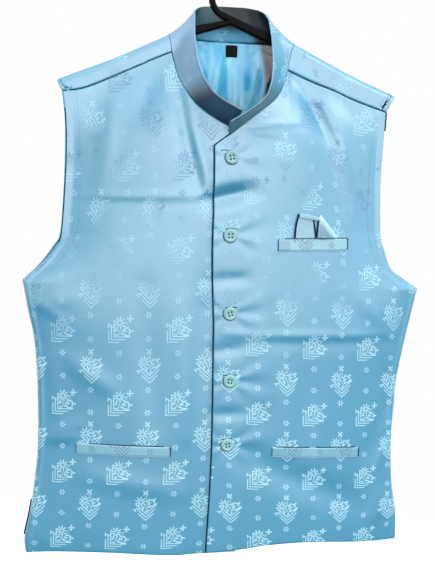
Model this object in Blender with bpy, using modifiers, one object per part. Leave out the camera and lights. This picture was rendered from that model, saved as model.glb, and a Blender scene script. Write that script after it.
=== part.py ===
"""A band-collar waistcoat of light blue damask, buttoned up on a black moulded hanger.

X runs to the wearer's left, Y to the wearer's back and Z up. The origin is the inner top of
the hanger's hook, where a rail would carry it. Tables and sizes are in millimetres.
"""

import math

import bmesh
import bpy
import numpy as np
from mathutils import Matrix, Vector

MM = 0.001

# Walls and gaps.
CLOTH_WALL = 1.8
COLLAR_WALL = 2.2
LINING_WALL = 1.0
WELT_WALL = 1.2
SQUARE_WALL = 1.8
LABEL_WALL = 0.6
SEAM_GAP = 0.3
LAYER_GAP = 0.5

# Depth of the hanging body: half its thickness at the side folds and shoulders, and how far
# the middle of the front and of the back stand from the plane of the hanger.
EDGE_DEPTH = 9.0
FOLD_STRAIGHT = 1.5
FRONT_DEPTH = 52.0
BACK_DEPTH = 32.0
DRAPE_LENGTH = 50.0
DRAPE_POWER = 1.6
UNDERLAP_DROP = 3.6
UNDERLAP_START = -62.0
UNDERLAP_FULL = -30.0
ARMHOLE_OPENS_OVER = 70.0
NECK_HALF = 81.0

# Outline of each front, half widths and heights, wearer's right then wearer's left.
SIDE_SEAM = {
    "right": [  # half_width, height, from hem to armpit
        (266, -803), (267, -780), (259, -739), (252, -691), (248, -641),
        (248, -564), (252, -499), (260, -457), (266.5, -419)],
    "left": [
        (268, -800), (265, -758), (256, -714), (250, -650), (250, -592),
        (251, -555), (258, -503), (266, -455), (271, -426)],
}
ARMHOLE = {
    "right": [  # half_width, height, from armpit to the arm end of the shoulder seam
        (266.5, -419), (243, -398), (224, -374), (216, -357), (211.5, -301),
        (209.5, -255), (210, -211), (214, -177)],
    "left": [
        (271, -426), (250.5, -413), (231, -399), (218, -373), (210.5, -348),
        (205.5, -281), (205.5, -236), (206, -189)],
}
FRONT_EDGE = {
    "right": [(22, -790), (22, -640), (21, -430)],  # x, height, hem to armpit level
    "left": [(-19, -789), (-16, -642), (-19, -470)],
}
UPPER_EDGE = {
    "right": [(21, -430), (20, -330), (18, -228)],  # x, height, armpit level to front corner
    "left": [(-19, -470), (-23.5, -380), (-24, -300), (-25.5, -237)],
}
LAP_TOP = {
    "right": [(18, -228), (0, -216)],  # x, height, front corner to the collar's end
    "left": [(-25.5, -237), (-7, -223)],
}
NECKLINE = {
    "right": [  # x, height, collar's end to the neck end of the shoulder seam
        (0, -216), (-18, -208), (-34, -198.5), (-51, -185), (-66, -164), (-73, -147), (-79, -124)],
    "left": [
        (-7, -223), (14, -206), (37, -189), (54, -175), (65, -158), (71, -141)],
}
HEM = {
    "right": [(-266, -803), (-220, -796), (-147, -791.5), (-71, -792), (22, -790)],
    "left": [(268, -800), (220, -796), (132, -784), (71, -782), (37, -785), (-19, -789)],
}
SHOULDER_SEAM = {
    "right": [(-214, -177), (-184, -171), (-130, -147), (-101, -133.5), (-79, -124)],
    "left": [(206, -189), (163, -175.5), (134, -164), (105, -154.5), (71, -141)],
}

# The back's own lines: its armhole stands a little outside the front's, and the shoulder
# ridge is the line that rides on the hanger.
BACK_ARMHOLE = {
    "right": [
        (266.5, -419), (245, -398), (227, -374), (218.5, -357), (214, -301),
        (212.5, -255), (212.5, -211), (216, -176)],
    "left": [
        (271, -426), (250.5, -413), (231, -399), (218, -373), (210.5, -348),
        (206, -281), (208, -236), (213, -180)],
}
RIDGE = {
    "right": [(-221.5, -163.5), (-214, -159.5), (-153.5, -135), (-101, -111), (-83, -102)],
    "left": [(218.5, -167.5), (210, -163.5), (170, -148), (125, -128), (80, -106.5)],
}
BACK_HEM = [(-266, -803), (-140, -799), (0, -797), (140, -797), (268, -800)]
BACK_NECKLINE = [
    (-76, -105), (-58, -106), (-30, -106.5), (0, -107), (30, -107), (56, -108), (74, -109)]
SPRING_DROP = 9.0
SPRING_BLEND_START = 0.6
STRIP_ABOVE_SEAM = 3.0
NECK_SPRING_X = {"right": -76.0, "left": 74.0}
NECK_SPRING_Z = {"right": -105.0, "left": -109.0}

# Largest folds: x and height of both ends, half width of the fold and how far it stands out.
# A fold is lowest at its ends, and fades out towards the side folds and below a shoulder seam.
FOLD_FADE_BELOW = 30.0
FOLD_FADE_SLOPE = 3.0
FOLD_AT_SIDE = 0.25
FRONT_FOLDS = [
    (-92, -142, -122, -200, 13, -3.0),
    (-70, -196, -52, -280, 12, -2.2),
    (-38, -270, -40, -420, 14, 1.6),
    (90, -158, 146, -305, 17, -4.5),
    (118, -180, 168, -285, 12, 2.0),
    (-262, -452, -205, -440, 12, 2.0),
    (-250, -636, -196, -612, 11, 1.8),
    (246, -560, 214, -665, 12, -2.2),
    (238, -690, 226, -770, 12, 2.0),
]
BACK_FOLDS = [
    (-118, -170, -96, -330, 18, -3.0),
    (112, -165, 92, -320, 18, -3.4),
    (-70, -420, -84, -700, 20, 2.6),
    (60, -450, 78, -720, 22, 2.2),
    (-180, -520, -150, -640, 16, -2.4),
    (176, -500, 148, -650, 16, -2.2),
]

# Collar stations, from the wearer's right end round the back to the left end.
COLLAR_ABOVE_SEAM = 0.9
COLLAR_TOP = [  # seam_x, seam_y, seam_z, top_x, top_y, top_z
    (0, -47, -216, 3, -73, -194),
    (-18, -46, -208, -9, -73, -188),
    (-34, -44, -198.5, -21, -71, -182),
    (-51, -38, -185, -34, -67, -172),
    (-66, -27, -164, -44, -56, -154),
    (-73, -18, -147, -50, -44, -135),
    (-79, -9, -124, -52.5, -22, -104),
    (-83, 0, -102, -51, 0, -76),
    (-76, 9, -105, -50, 12, -69),
    (-58, 18, -106, -41, 23, -65),
    (-30, 27, -106.5, -24, 30.5, -62.5),
    (0, 31, -107, -3, 33, -62),
    (30, 27, -107, 20, 30, -62.5),
    (56, 18, -108, 36, 20, -66),
    (74, 9, -109, 43, 10, -69),
    (80, 0, -106.5, 46, -4, -79),
    (76, -9, -124, 47.5, -20, -101),
    (71, -9, -141, 46.5, -42, -134),
    (65, -24, -158, 43, -55, -157),
    (54, -36, -175, 36, -66, -174),
    (37, -42, -189, 22.5, -74, -187),
    (14, -47, -206, 4, -79, -199),
    (-7, -50, -223, -11, -82, -208),
]

# Pockets on the fronts: x and height of the corners at the lower edge and how tall they are.
WELTS = {
    "welt_chest": {"front": "left", "x": (61, 160), "z": (-369.5, -370), "height": 16.0},
    "welt_hip_right": {"front": "right", "x": (-197, -71), "z": (-650.5, -649), "height": 14.5},
    "welt_hip_left": {"front": "left", "x": (66, 196), "z": (-651, -663), "height": 14.0},
}
SQUARE_OUTLINE = [  # x, height, round the folded part and then the pointed one
    (82, -353.2), (86, -325), (88, -319), (113, -321.5), (115, -322), (141, -353.2),
    (112, -353.2), (109.5, -353.2)]

BUTTONS = [(-3.5, -251), (-2, -350), (1.5, -452), (4.5, -543), (4.5, -632)]  # x, height
BUTTON_PROFILE = [  # radius, height of a half section, from the middle of the dome to the back
    (0.0, 3.6), (3.6, 3.5), (6.4, 3.0), (8.3, 1.9), (9.0, 0.8), (8.6, 0.0), (0.0, 0.0)]
BUTTON_HOLE_RADIUS = 1.25
BUTTON_HOLE_OFFSET = 3.0
BUTTON_TURN = 0.2
DRILL_LENGTH = 8.0
DRILL_HEIGHT = 2.0
BUTTON_SEAT = 0.6
BUTTON_SEGMENTS = 18

LABEL_X = (-5.5, 9.5)
LABEL_TOP = -109.5
LABEL_DROP = 15.0
LABEL_INSIDE = 5.3
LINING_HEM_RISE = 28.0
LINING_SIDE_INSET = 14.0
LINING_SHOULDER_DROP = 24.0
LINING_DROP_STARTS = 15.0
LINING_SIDE_CLEAR = 3.0
LINING_SLACK = 3.5

# The hanger: a flat moulding whose arms lie just under the shoulder ridges.
HANGER_THICKNESS = 9.0
HANGER_ROUNDING = 3.0
HANGER_BELOW_RIDGE = 3.1  # from the ridge's outer face, so it holds the cloth's wall too
ARM_HEIGHT = 12.5
ARM_TIP_HEIGHT = 9.0
ARM_REACH = {"right": -203.0, "left": 200.0}
HANGER_APEX = (-4.1, -74.8)
HANGER_NECK = {"right": (-50, -89.5), "left": (41.5, -93.5)}
HOOK_RADIUS = 24.0
HOOK_HALF_WIDTH = 4.0
HOOK_TIP_ANGLE = -25.0
HOOK_STEM = [(-6, -80), (-19, -73.5), (-28, -61), (-28.5, -42)]  # x, height of its middle line

# Grid density.
SIDE_ROWS = 8
EDGE_ROWS = 6
LAP_ROWS = 1
NECK_ROWS = 6
FOLD_COLUMNS = 4
FRONT_COLUMNS = 9
SHOULDER_COLUMNS = 6
NECK_COLUMNS = 8
ARCH_STEPS = 6
COLLAR_COLUMNS = 3


# Curves and surfaces.

def smooth_path(points, shares):
    """Points at the given shares of the length of a smooth curve through the points."""
    points = np.array(points, float)
    padded = np.vstack([2 * points[0] - points[1], points, 2 * points[-1] - points[-2]])
    dense = []
    for before, start, end, after in zip(padded, padded[1:], padded[2:], padded[3:]):
        for t in np.linspace(0, 1, 20, endpoint=False):
            bend = 2 * before - 5 * start + 4 * end - after
            twist = 3 * start - 3 * end + after - before
            dense.append(start + 0.5 * ((end - before) * t + bend * t ** 2 + twist * t ** 3))
    dense.append(points[-1])
    dense = np.array(dense)
    travelled = np.concatenate([[0], np.cumsum(np.linalg.norm(np.diff(dense, axis=0), axis=1))])
    wanted = np.array(shares) * travelled[-1]
    return np.column_stack([np.interp(wanted, travelled, column) for column in dense.T])


def joined_path(parts, counts):
    """Points along several paths laid end to end, evenly spaced within each."""
    pieces = [smooth_path(part, np.linspace(0, 1, count + 1)) for part, count in zip(parts, counts)]
    return np.vstack([pieces[0]] + [piece[1:] for piece in pieces[1:]])


def smoothstep(value):
    value = min(max(value, 0.0), 1.0)
    return value * value * (3 - 2 * value)


def coons(u, v, bottom, top, low, high, corners):
    """A point of the patch between four curves, given the points of each at u or v."""
    low_bottom, high_bottom, low_top, high_top = corners
    ruled = (1 - v) * bottom + v * top + (1 - u) * low + u * high
    at_bottom = (1 - u) * low_bottom + u * high_bottom
    at_top = (1 - u) * low_top + u * high_top
    return ruled - (1 - v) * at_bottom - v * at_top


def sign_of(side):
    return -1 if side == "right" else 1


def half_width(side, z, armhole):
    """Half width of the outline at a height, from the side seam and the armhole given."""
    rows = SIDE_SEAM[side] + armhole[side][1:]
    heights = [row[1] for row in rows]
    widths = [row[0] for row in rows]
    return float(np.interp(z, heights, widths))


def fold_offset(folds, x, z):
    """How far the folds in a table move the cloth out at a point."""
    total = 0.0
    for x0, z0, x1, z1, width, height in folds:
        run = ((x - x0) * (x1 - x0) + (z - z0) * (z1 - z0)) / ((x1 - x0) ** 2 + (z1 - z0) ** 2)
        share = min(max(run, 0.0), 1.0)
        away = math.hypot(x - x0 - share * (x1 - x0), z - z0 - share * (z1 - z0))
        swell = math.sin(math.pi * (0.15 + 0.7 * share))
        total += height * swell * math.exp(-(away / width) ** 2)
    return total


def bulge(x, z, reach, line_z, armhole, folds):
    """How far the cloth stands out beyond the depth at its edges."""
    side = "right" if x < 0 else "left"
    width = half_width(side, z, armhole) - EDGE_DEPTH
    across = min(abs(x) / width, 1.0)
    below = max(line_z - z, 0.0)
    inside = max(NECK_HALF - abs(x), 0.0)
    drape = 1 - math.exp(-(math.hypot(below, inside) / DRAPE_LENGTH) ** DRAPE_POWER)
    swell = (1 - across ** 2) * drape
    calm = min(1.0, FOLD_FADE_SLOPE * (1 - across) + FOLD_AT_SIDE) * min(1.0, below / FOLD_FADE_BELOW)
    return (reach - EDGE_DEPTH) * swell + calm * fold_offset(folds, x, z)


def seam_line_height(x):
    """Height of the shoulder seam over a place on the front."""
    rows = SHOULDER_SEAM["right"] + SHOULDER_SEAM["left"][::-1]
    return float(np.interp(x, [row[0] for row in rows], [row[1] for row in rows]))


def ridge_height(x):
    rows = RIDGE["right"] + RIDGE["left"][::-1]
    return float(np.interp(x, [row[0] for row in rows], [row[1] for row in rows]))


def front_y(x, z, side="left"):
    """Y of the front's outer face; the right front drops back where the left laps over it."""
    y = -EDGE_DEPTH - bulge(x, z, FRONT_DEPTH, seam_line_height(x), ARMHOLE, FRONT_FOLDS)
    if side == "right":
        y += UNDERLAP_DROP * smoothstep((x - UNDERLAP_START) / (UNDERLAP_FULL - UNDERLAP_START))
    return y


def back_y(x, z):
    line_z = ridge_height(x) - SPRING_DROP
    return EDGE_DEPTH + bulge(x, z, BACK_DEPTH, line_z, BACK_ARMHOLE, BACK_FOLDS)


def side_fold(share, opened):
    """Inset from the outline and depth along the rounded side, flattened where it opens."""
    radius = EDGE_DEPTH - FOLD_STRAIGHT
    length = FOLD_STRAIGHT + radius * math.pi / 2
    travelled = share * length
    if travelled <= FOLD_STRAIGHT:
        inset, depth = 0.0, travelled
    else:
        angle = (travelled - FOLD_STRAIGHT) / radius
        inset = radius * (1 - math.cos(angle))
        depth = FOLD_STRAIGHT + radius * math.sin(angle)
    depth = max(depth, SEAM_GAP / 2)
    inset = (1 - opened) * inset + opened * share * radius
    depth = (1 - opened) * depth + opened * EDGE_DEPTH
    return inset, depth


def fold_shares():
    """Shares along the rounded side: its straight lip, then even steps of arc."""
    radius = EDGE_DEPTH - FOLD_STRAIGHT
    lip = FOLD_STRAIGHT / (FOLD_STRAIGHT + radius * math.pi / 2)
    return [0.0] + [lip + (1 - lip) * step / (FOLD_COLUMNS - 1) for step in range(FOLD_COLUMNS)]


def opened_share(side, z):
    """0 on the side seam and 1 well up the armhole, where front and back part."""
    armpit = SIDE_SEAM[side][-1][1]
    return smoothstep((z - armpit) / ARMHOLE_OPENS_OVER)


def front_grid(side):
    """Rows of points from hem to shoulder seam, each from the side to the front edge."""
    sign = sign_of(side)
    upper_rows = EDGE_ROWS + LAP_ROWS + NECK_ROWS
    outer = joined_path([SIDE_SEAM[side], ARMHOLE[side]], [SIDE_ROWS, upper_rows])
    outer[:, 0] *= sign
    inner = joined_path(
        [FRONT_EDGE[side], UPPER_EDGE[side], LAP_TOP[side], NECKLINE[side]],
        [SIDE_ROWS, EDGE_ROWS, LAP_ROWS, NECK_ROWS])
    corners = (outer[0], inner[0], outer[-1], inner[-1])
    columns = np.linspace(0, 1, FRONT_COLUMNS + 1)
    rows = []
    for number, (edge, middle) in enumerate(zip(outer, inner)):
        v = number / (len(outer) - 1)
        width = abs(middle[0] - edge[0])
        folded = (EDGE_DEPTH - FOLD_STRAIGHT) / width
        row = []
        for share in fold_shares():
            inset, depth = side_fold(share, opened_share(side, edge[1]))
            x, z = front_place(side, inset / width, v, edge, middle, corners)
            row.append((edge[0] - sign * inset, -depth, z))
        for column in columns[1:]:
            u = folded + (1 - folded) * column
            x, z = front_place(side, u, v, edge, middle, corners)
            row.append((x, front_y(x, z, side), z))
        rows.append(row)
    return rows


def front_place(side, u, v, edge, middle, corners):
    """Where a share of a row falls between hem and shoulder seam."""
    bottom = smooth_path(HEM[side], [u])[0]
    top = smooth_path(SHOULDER_SEAM[side], [u])[0]
    return coons(u, v, bottom, top, edge, middle, corners)


def back_top(side, shares):
    """The line behind the shoulder where the back starts to turn over the ridge."""
    ridge = smooth_path(RIDGE[side], shares)
    points = []
    for share, (x, z) in zip(shares, ridge):
        blend = smoothstep((share - SPRING_BLEND_START) / (1 - SPRING_BLEND_START))
        level = (1 - blend) * (z - SPRING_DROP) + blend * NECK_SPRING_Z[side]
        inward = (1 - blend) * x + blend * NECK_SPRING_X[side]
        points.append((inward, level))
    points[0] = (sign_of(side) * BACK_ARMHOLE[side][-1][0], BACK_ARMHOLE[side][-1][1])
    return np.array(points)


def back_body():
    """Rows of points of the back from hem to neck, each from the right side to the left."""
    shoulder = np.linspace(0, 1, SHOULDER_COLUMNS + 1)
    neck = smooth_path(BACK_NECKLINE, np.linspace(0, 1, NECK_COLUMNS + 1))
    top = np.vstack([back_top("right", shoulder)[:-1], neck, back_top("left", shoulder)[::-1][1:]])
    widths = (top[:, 0] - top[0, 0]) / (top[-1, 0] - top[0, 0])
    bottom = smooth_path(BACK_HEM, widths)
    upper_rows = EDGE_ROWS + LAP_ROWS + NECK_ROWS
    sides = {}
    for side in ("right", "left"):
        sides[side] = joined_path([SIDE_SEAM[side], BACK_ARMHOLE[side]], [SIDE_ROWS, upper_rows])
        sides[side][:, 0] *= sign_of(side)
    corners = (bottom[0], bottom[-1], top[0], top[-1])
    rows = []
    for number, (right, left) in enumerate(zip(sides["right"], sides["left"])):
        v = number / (len(sides["right"]) - 1)
        span = left[0] - right[0]
        middle = 0.5 * (left[0] + right[0])
        inset_all = (EDGE_DEPTH - FOLD_STRAIGHT) / span
        row = []
        for share in fold_shares()[:-1]:
            inset, depth = side_fold(share, opened_share("right", right[1]))
            row.append((right[0] + inset, depth, right[1]))
        for index, width in enumerate(widths):
            x, z = coons(width, v, bottom[index], top[index], right, left, corners)
            x = middle + (x - middle) * (1 - 2 * inset_all)
            row.append((x, back_y(x, z), z))
        for share in fold_shares()[-2::-1]:
            inset, depth = side_fold(share, opened_share("left", left[1]))
            row.append((left[0] - inset, depth, left[1]))
        rows.append(row)
    return rows


def shoulder_strip(side, top_row):
    """Rows of the back from behind the shoulder, over its ridge, to the seam in front."""
    start, end = top_row[0][0], top_row[-1][0]
    shares = [(point[0] - start) / (end - start) for point in top_row]
    ridge = smooth_path(RIDGE[side], shares)
    seam = smooth_path(SHOULDER_SEAM[side], shares)
    rows = []
    for step in range(1, ARCH_STEPS + 1):
        angle = math.pi * step / ARCH_STEPS
        rise = math.sin(angle)
        row = []
        for behind, (ridge_x, ridge_z), (seam_x, seam_z) in zip(top_row, ridge, seam):
            if angle <= math.pi / 2:
                x = behind[0] + (ridge_x - behind[0]) * rise
                z = behind[2] + (ridge_z - behind[2]) * rise
                y = behind[1] * math.cos(angle)
            else:
                front_z = max(ridge_z - SPRING_DROP, seam_z + STRIP_ABOVE_SEAM)
                x = seam_x + (ridge_x - seam_x) * (1 + rise) / 2
                z = front_z + (ridge_z - front_z) * rise
                y = EDGE_DEPTH * math.cos(angle)
            row.append((x, y, z))
        rows.append(row)
    rows.append([(x, -EDGE_DEPTH, z + SEAM_GAP) for x, z in seam])
    return rows


# Mesh helpers.

def link(collection, name, mesh, material):
    mesh.materials.append(material)
    piece = bpy.data.objects.new(name, mesh)
    collection.objects.link(piece)
    return piece


def add_solidify(piece, thickness):
    wall = piece.modifiers.new("wall", "SOLIDIFY")
    wall.thickness = thickness * MM
    wall.offset = -1.0
    return wall


def sheet(collection, name, strips, thickness, material, outward):
    """Open surfaces made of rows of points, joined where they share points, given a wall."""
    work = bmesh.new()
    for rows in strips:
        grid = [[work.verts.new(Vector(point) * MM) for point in row] for row in rows]
        for lower, upper in zip(grid, grid[1:]):
            for quad in zip(lower, lower[1:], upper[1:], upper):
                work.faces.new(quad)
    bmesh.ops.remove_doubles(work, verts=work.verts, dist=0.01 * MM)
    work.faces.ensure_lookup_table()
    bmesh.ops.recalc_face_normals(work, faces=work.faces)
    work.faces.ensure_lookup_table()
    facing = sum((face.normal * face.calc_area() for face in work.faces), Vector())
    if facing.dot(Vector(outward)) < 0:
        bmesh.ops.reverse_faces(work, faces=work.faces)
    mesh = bpy.data.meshes.new(name)
    work.to_mesh(mesh)
    work.free()
    mesh.shade_smooth()
    piece = link(collection, name, mesh, material)
    add_solidify(piece, thickness)
    return piece


def material(name, colour, roughness, sheen=0.0):
    made = bpy.data.materials.new(name)
    made.use_nodes = True
    shader = made.node_tree.nodes["Principled BSDF"]
    shader.inputs["Base Color"].default_value = (*colour, 1.0)
    shader.inputs["Roughness"].default_value = roughness
    shader.inputs["Sheen Weight"].default_value = sheen
    made.diffuse_color = (*colour, 1.0)
    return made


# Sub-parts.

def build_fronts(collection, damask):
    """The right front lies under, the left front laps over it and carries the buttons."""
    grids = {}
    for side in ("right", "left"):
        grids[side] = front_grid(side)
        sheet(collection, "front_" + side, [grids[side]], CLOTH_WALL, damask, (0, -1, 0))
    return grids


def build_back(collection, damask):
    """The back with its two shoulder strips, which come over the ridge to the front seams."""
    body = back_body()
    last = len(body[-1])
    lip = len(fold_shares()) - 1
    right_top = body[-1][:lip + SHOULDER_COLUMNS + 1]
    left_top = body[-1][last - lip - SHOULDER_COLUMNS - 1:][::-1]
    strips = {"right": shoulder_strip("right", right_top), "left": shoulder_strip("left", left_top)}
    pieces = [body, [right_top] + strips["right"], [left_top] + strips["left"]]
    sheet(collection, "back", pieces, CLOTH_WALL, damask, (0, 1, 0))
    return body, strips


def collar_seam(grids, body, strips):
    """The neck edge of the panels, from the right end of the collar round to the left end."""
    right = [row[-1] for row in grids["right"][-NECK_ROWS - 1:]]
    left = [row[-1] for row in grids["left"][-NECK_ROWS - 1:]]
    lip = len(fold_shares()) - 1
    first = lip + SHOULDER_COLUMNS
    back = body[-1][first:first + NECK_COLUMNS + 1]
    over_right = [row[-1] for row in strips["right"]][::-1][1:]
    over_left = [row[-1] for row in strips["left"]][:-1]
    return np.array(right + over_right + list(back) + over_left + left[::-1])


def build_collar(collection, damask, seam):
    """A stiff band ruled between the neck edge and its own top edge."""
    gaps = np.linalg.norm(np.diff(seam, axis=0), axis=1)
    travelled = np.concatenate([[0], np.cumsum(gaps)])
    stations = np.array(COLLAR_TOP, float)
    marks = [travelled[np.argmin(np.linalg.norm(seam - row[:3], axis=1))] for row in stations]
    rows = []
    for distance, foot in zip(travelled, seam):
        top = np.array([np.interp(distance, marks, stations[:, 3 + axis]) for axis in range(3)])
        lift = (top - foot) / np.linalg.norm(top - foot)
        start = foot + lift * COLLAR_ABOVE_SEAM
        shares = np.linspace(0, 1, COLLAR_COLUMNS + 1)
        rows.append([start + (top - start) * share for share in shares])
    return sheet(collection, "collar", [rows], COLLAR_WALL, damask, (0, 0, -1))


def build_hanger(collection, plastic, strips):
    """Arms and hook in one flat moulding with rounded edges, just under the shoulder ridges."""
    tops = {}
    for side in ("right", "left"):
        reach = abs(ARM_REACH[side])
        crest = [(x, z - HANGER_BELOW_RIDGE) for x, y, z in strips[side][ARCH_STEPS // 2 - 1][::-1]]
        slope = (crest[-1][1] - crest[-2][1]) / (crest[-1][0] - crest[-2][0])
        under = [point for point in crest if abs(point[0]) < reach]
        tip = under[-1][1] + slope * (ARM_REACH[side] - under[-1][0])
        tops[side] = [HANGER_NECK[side]] + under + [(ARM_REACH[side], tip)]
    lower = {}
    for side in ("right", "left"):
        count = len(tops[side])
        heights = np.linspace(ARM_HEIGHT, ARM_TIP_HEIGHT, count)
        lower[side] = [(x, z - height) for (x, z), height in zip(tops[side], heights)]
    centre_z = HOOK_HALF_WIDTH - HOOK_RADIUS
    angles = np.radians(np.linspace(180, HOOK_TIP_ANGLE, 19))
    ring = [(HOOK_RADIUS * math.cos(a), centre_z + HOOK_RADIUS * math.sin(a)) for a in angles]
    path = smooth_path(HOOK_STEM + ring, np.linspace(0, 1, 30))
    along = np.gradient(path, axis=0)
    along /= np.linalg.norm(along, axis=1)[:, None]
    across = np.column_stack([-along[:, 1], along[:, 0]])
    outer = path + across * HOOK_HALF_WIDTH
    inner = path - across * HOOK_HALF_WIDTH
    apex_bottom = (HANGER_APEX[0], HANGER_APEX[1] - ARM_HEIGHT)
    outline = list(tops["right"][::-1]) + list(outer[1:]) + list(inner[:2:-1])
    outline += list(tops["left"]) + list(lower["left"][::-1]) + [apex_bottom] + list(lower["right"])
    curve = bpy.data.curves.new("hanger", "CURVE")
    curve.dimensions = "2D"
    curve.fill_mode = "BOTH"
    curve.extrude = (HANGER_THICKNESS / 2 - HANGER_ROUNDING) * MM
    curve.bevel_depth = HANGER_ROUNDING * MM
    curve.bevel_resolution = 1
    curve.offset = -HANGER_ROUNDING * MM
    spline = curve.splines.new("POLY")
    spline.points.add(len(outline) - 1)
    spline.use_cyclic_u = True
    for point, (x, z) in zip(spline.points, outline):
        point.co = (x * MM, z * MM, 0, 1)
    curve.materials.append(plastic)
    piece = bpy.data.objects.new("hanger", curve)
    collection.objects.link(piece)
    piece.rotation_euler = (math.pi / 2, 0, 0)
    return piece


def build_lining(collection, satin, body):
    """The satin back lining, sewn in at the neck and hanging a little inside the back."""
    lip = len(fold_shares()) - 1
    rows = []
    for number, row in enumerate(body):
        share = number / (len(body) - 1)
        inner = row[lip:-lip]
        inset = 1 - LINING_SIDE_INSET / abs(inner[0][0])
        slack = LAYER_GAP + LINING_SLACK * (1 - share ** 9)
        points = []
        for x, y, z in inner[::2]:
            slope = smoothstep((abs(x) - LINING_DROP_STARTS) / NECK_HALF)
            level = z + LINING_HEM_RISE * (1 - share) ** 4 - LINING_SHOULDER_DROP * slope * share ** 4
            beside = LINING_SIDE_CLEAR * LAYER_GAP * min(abs(x) / NECK_HALF, 1)
            reach = back_y(x * inset, level) - CLOTH_WALL
            points.append((x * inset, reach - slack - beside, level))
        rows.append(points)
    return sheet(collection, "back_lining", [rows], LINING_WALL, satin, (0, 1, 0))


def build_label(collection, ribbon):
    """The plain square label that hangs from the neck seam inside the back."""
    rows = []
    for drop in np.linspace(LABEL_DROP, 0, 4):
        z = LABEL_TOP - drop
        rows.append([(x, back_y(x, z) - LABEL_INSIDE, z) for x in np.linspace(*LABEL_X, 4)])
    return sheet(collection, "neck_label", [rows], LABEL_WALL, ribbon, (0, 1, 0))


def build_welt(collection, name, size, damask):
    """A welt strip lying on its front, moved out from the front's own points."""
    rows = []
    for rise in np.linspace(0, size["height"], 3):
        row = []
        for share in np.linspace(0, 1, 9):
            x = size["x"][0] + share * (size["x"][1] - size["x"][0])
            z = size["z"][0] + share * (size["z"][1] - size["z"][0]) + rise
            row.append((x, front_y(x, z, size["front"]) - LAYER_GAP - WELT_WALL, z))
        rows.append(row)
    return sheet(collection, name, [rows], WELT_WALL, damask, (0, -1, 0))


def build_square(collection, damask):
    """The folded pocket square that stands above the chest welt."""
    work = bmesh.new()
    corners = []
    for x, z in SQUARE_OUTLINE:
        y = front_y(x, z) - LAYER_GAP - SQUARE_WALL
        corners.append(work.verts.new(Vector((x, y, z)) * MM))
    face = work.faces.new(corners)
    bmesh.ops.triangulate(work, faces=[face])
    bmesh.ops.recalc_face_normals(work, faces=work.faces)
    if sum((part.normal.y for part in work.faces)) > 0:
        bmesh.ops.reverse_faces(work, faces=work.faces)
    mesh = bpy.data.meshes.new("pocket_square")
    work.to_mesh(mesh)
    work.free()
    piece = link(collection, "pocket_square", mesh, damask)
    add_solidify(piece, SQUARE_WALL)
    return piece


def surface_normal(x, z):
    """The front's outward direction at a place, over a button's own width."""
    step = BUTTON_PROFILE[2][0]
    across = Vector((2 * step, front_y(x + step, z) - front_y(x - step, z), 0))
    upward = Vector((0, front_y(x, z + step) - front_y(x, z - step), 2 * step))
    return across.cross(upward).normalized()


def build_button(collection, cutters, number, x, z, plastic):
    """A domed disc turned about its own axis, with four thread holes."""
    name = "button_%d" % number
    mesh = bpy.data.meshes.new(name)
    work = bmesh.new()
    profile = [work.verts.new((radius * MM, 0, height * MM)) for radius, height in BUTTON_PROFILE]
    for pair in zip(profile, profile[1:]):
        work.edges.new(pair)
    work.to_mesh(mesh)
    work.free()
    piece = link(collection, name, mesh, plastic)
    turn = piece.modifiers.new("turn", "SCREW")
    turn.steps = BUTTON_SEGMENTS
    turn.render_steps = BUTTON_SEGMENTS
    turn.use_merge_vertices = True
    turn.merge_threshold = 0.00001
    normal = surface_normal(x, z)
    seat = Vector((x, front_y(x, z), z)) + normal * BUTTON_SEAT
    facing = normal.to_track_quat("Z", "Y").to_matrix().to_4x4()
    piece.matrix_world = Matrix.Translation(seat * MM) @ facing
    drill = button_drill(cutters, name, piece.matrix_world)
    holes = piece.modifiers.new("holes", "BOOLEAN")
    holes.operation = "DIFFERENCE"
    holes.solver = "EXACT"
    holes.object = drill
    return piece


def button_drill(cutters, name, placed):
    """The four thin rods that cut a button's thread holes."""
    work = bmesh.new()
    radius = BUTTON_HOLE_RADIUS * MM
    for quarter in range(4):
        angle = math.pi / 4 + quarter * math.pi / 2 + BUTTON_TURN
        x = BUTTON_HOLE_OFFSET * math.cos(angle)
        y = BUTTON_HOLE_OFFSET * math.sin(angle)
        bmesh.ops.create_cone(
            work, cap_ends=True, segments=8, radius1=radius, radius2=radius,
            depth=DRILL_LENGTH * MM, matrix=Matrix.Translation(Vector((x, y, DRILL_HEIGHT)) * MM))
    mesh = bpy.data.meshes.new(name + "_drill")
    work.to_mesh(mesh)
    work.free()
    drill = bpy.data.objects.new(name + "_drill", mesh)
    cutters.objects.link(drill)
    drill.matrix_world = placed
    drill.hide_render = True
    drill.display_type = "WIRE"
    return drill


def main():
    for old in list(bpy.data.objects):
        bpy.data.objects.remove(old, do_unlink=True)
    parts = bpy.data.collections.new("waistcoat")
    cutters = bpy.data.collections.new("cutters")
    bpy.context.scene.collection.children.link(parts)
    bpy.context.scene.collection.children.link(cutters)
    damask = material("damask", (0.33, 0.60, 0.76), 0.42, 0.2)
    satin = material("lining_satin", (0.22, 0.60, 0.82), 0.3, 0.1)
    ribbon = material("label_ribbon", (0.012, 0.012, 0.016), 0.6)
    button_plastic = material("button_plastic", (0.36, 0.58, 0.68), 0.3)
    hanger_plastic = material("hanger_plastic", (0.012, 0.012, 0.014), 0.35)
    grids = build_fronts(parts, damask)
    body, strips = build_back(parts, damask)
    build_collar(parts, damask, collar_seam(grids, body, strips))
    build_lining(parts, satin, body)
    build_label(parts, ribbon)
    for name, size in WELTS.items():
        build_welt(parts, name, size, damask)
    build_square(parts, damask)
    for number, (x, z) in enumerate(BUTTONS, 1):
        build_button(parts, cutters, number, x, z, button_plastic)
    build_hanger(parts, hanger_plastic, strips)


main()
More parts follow.
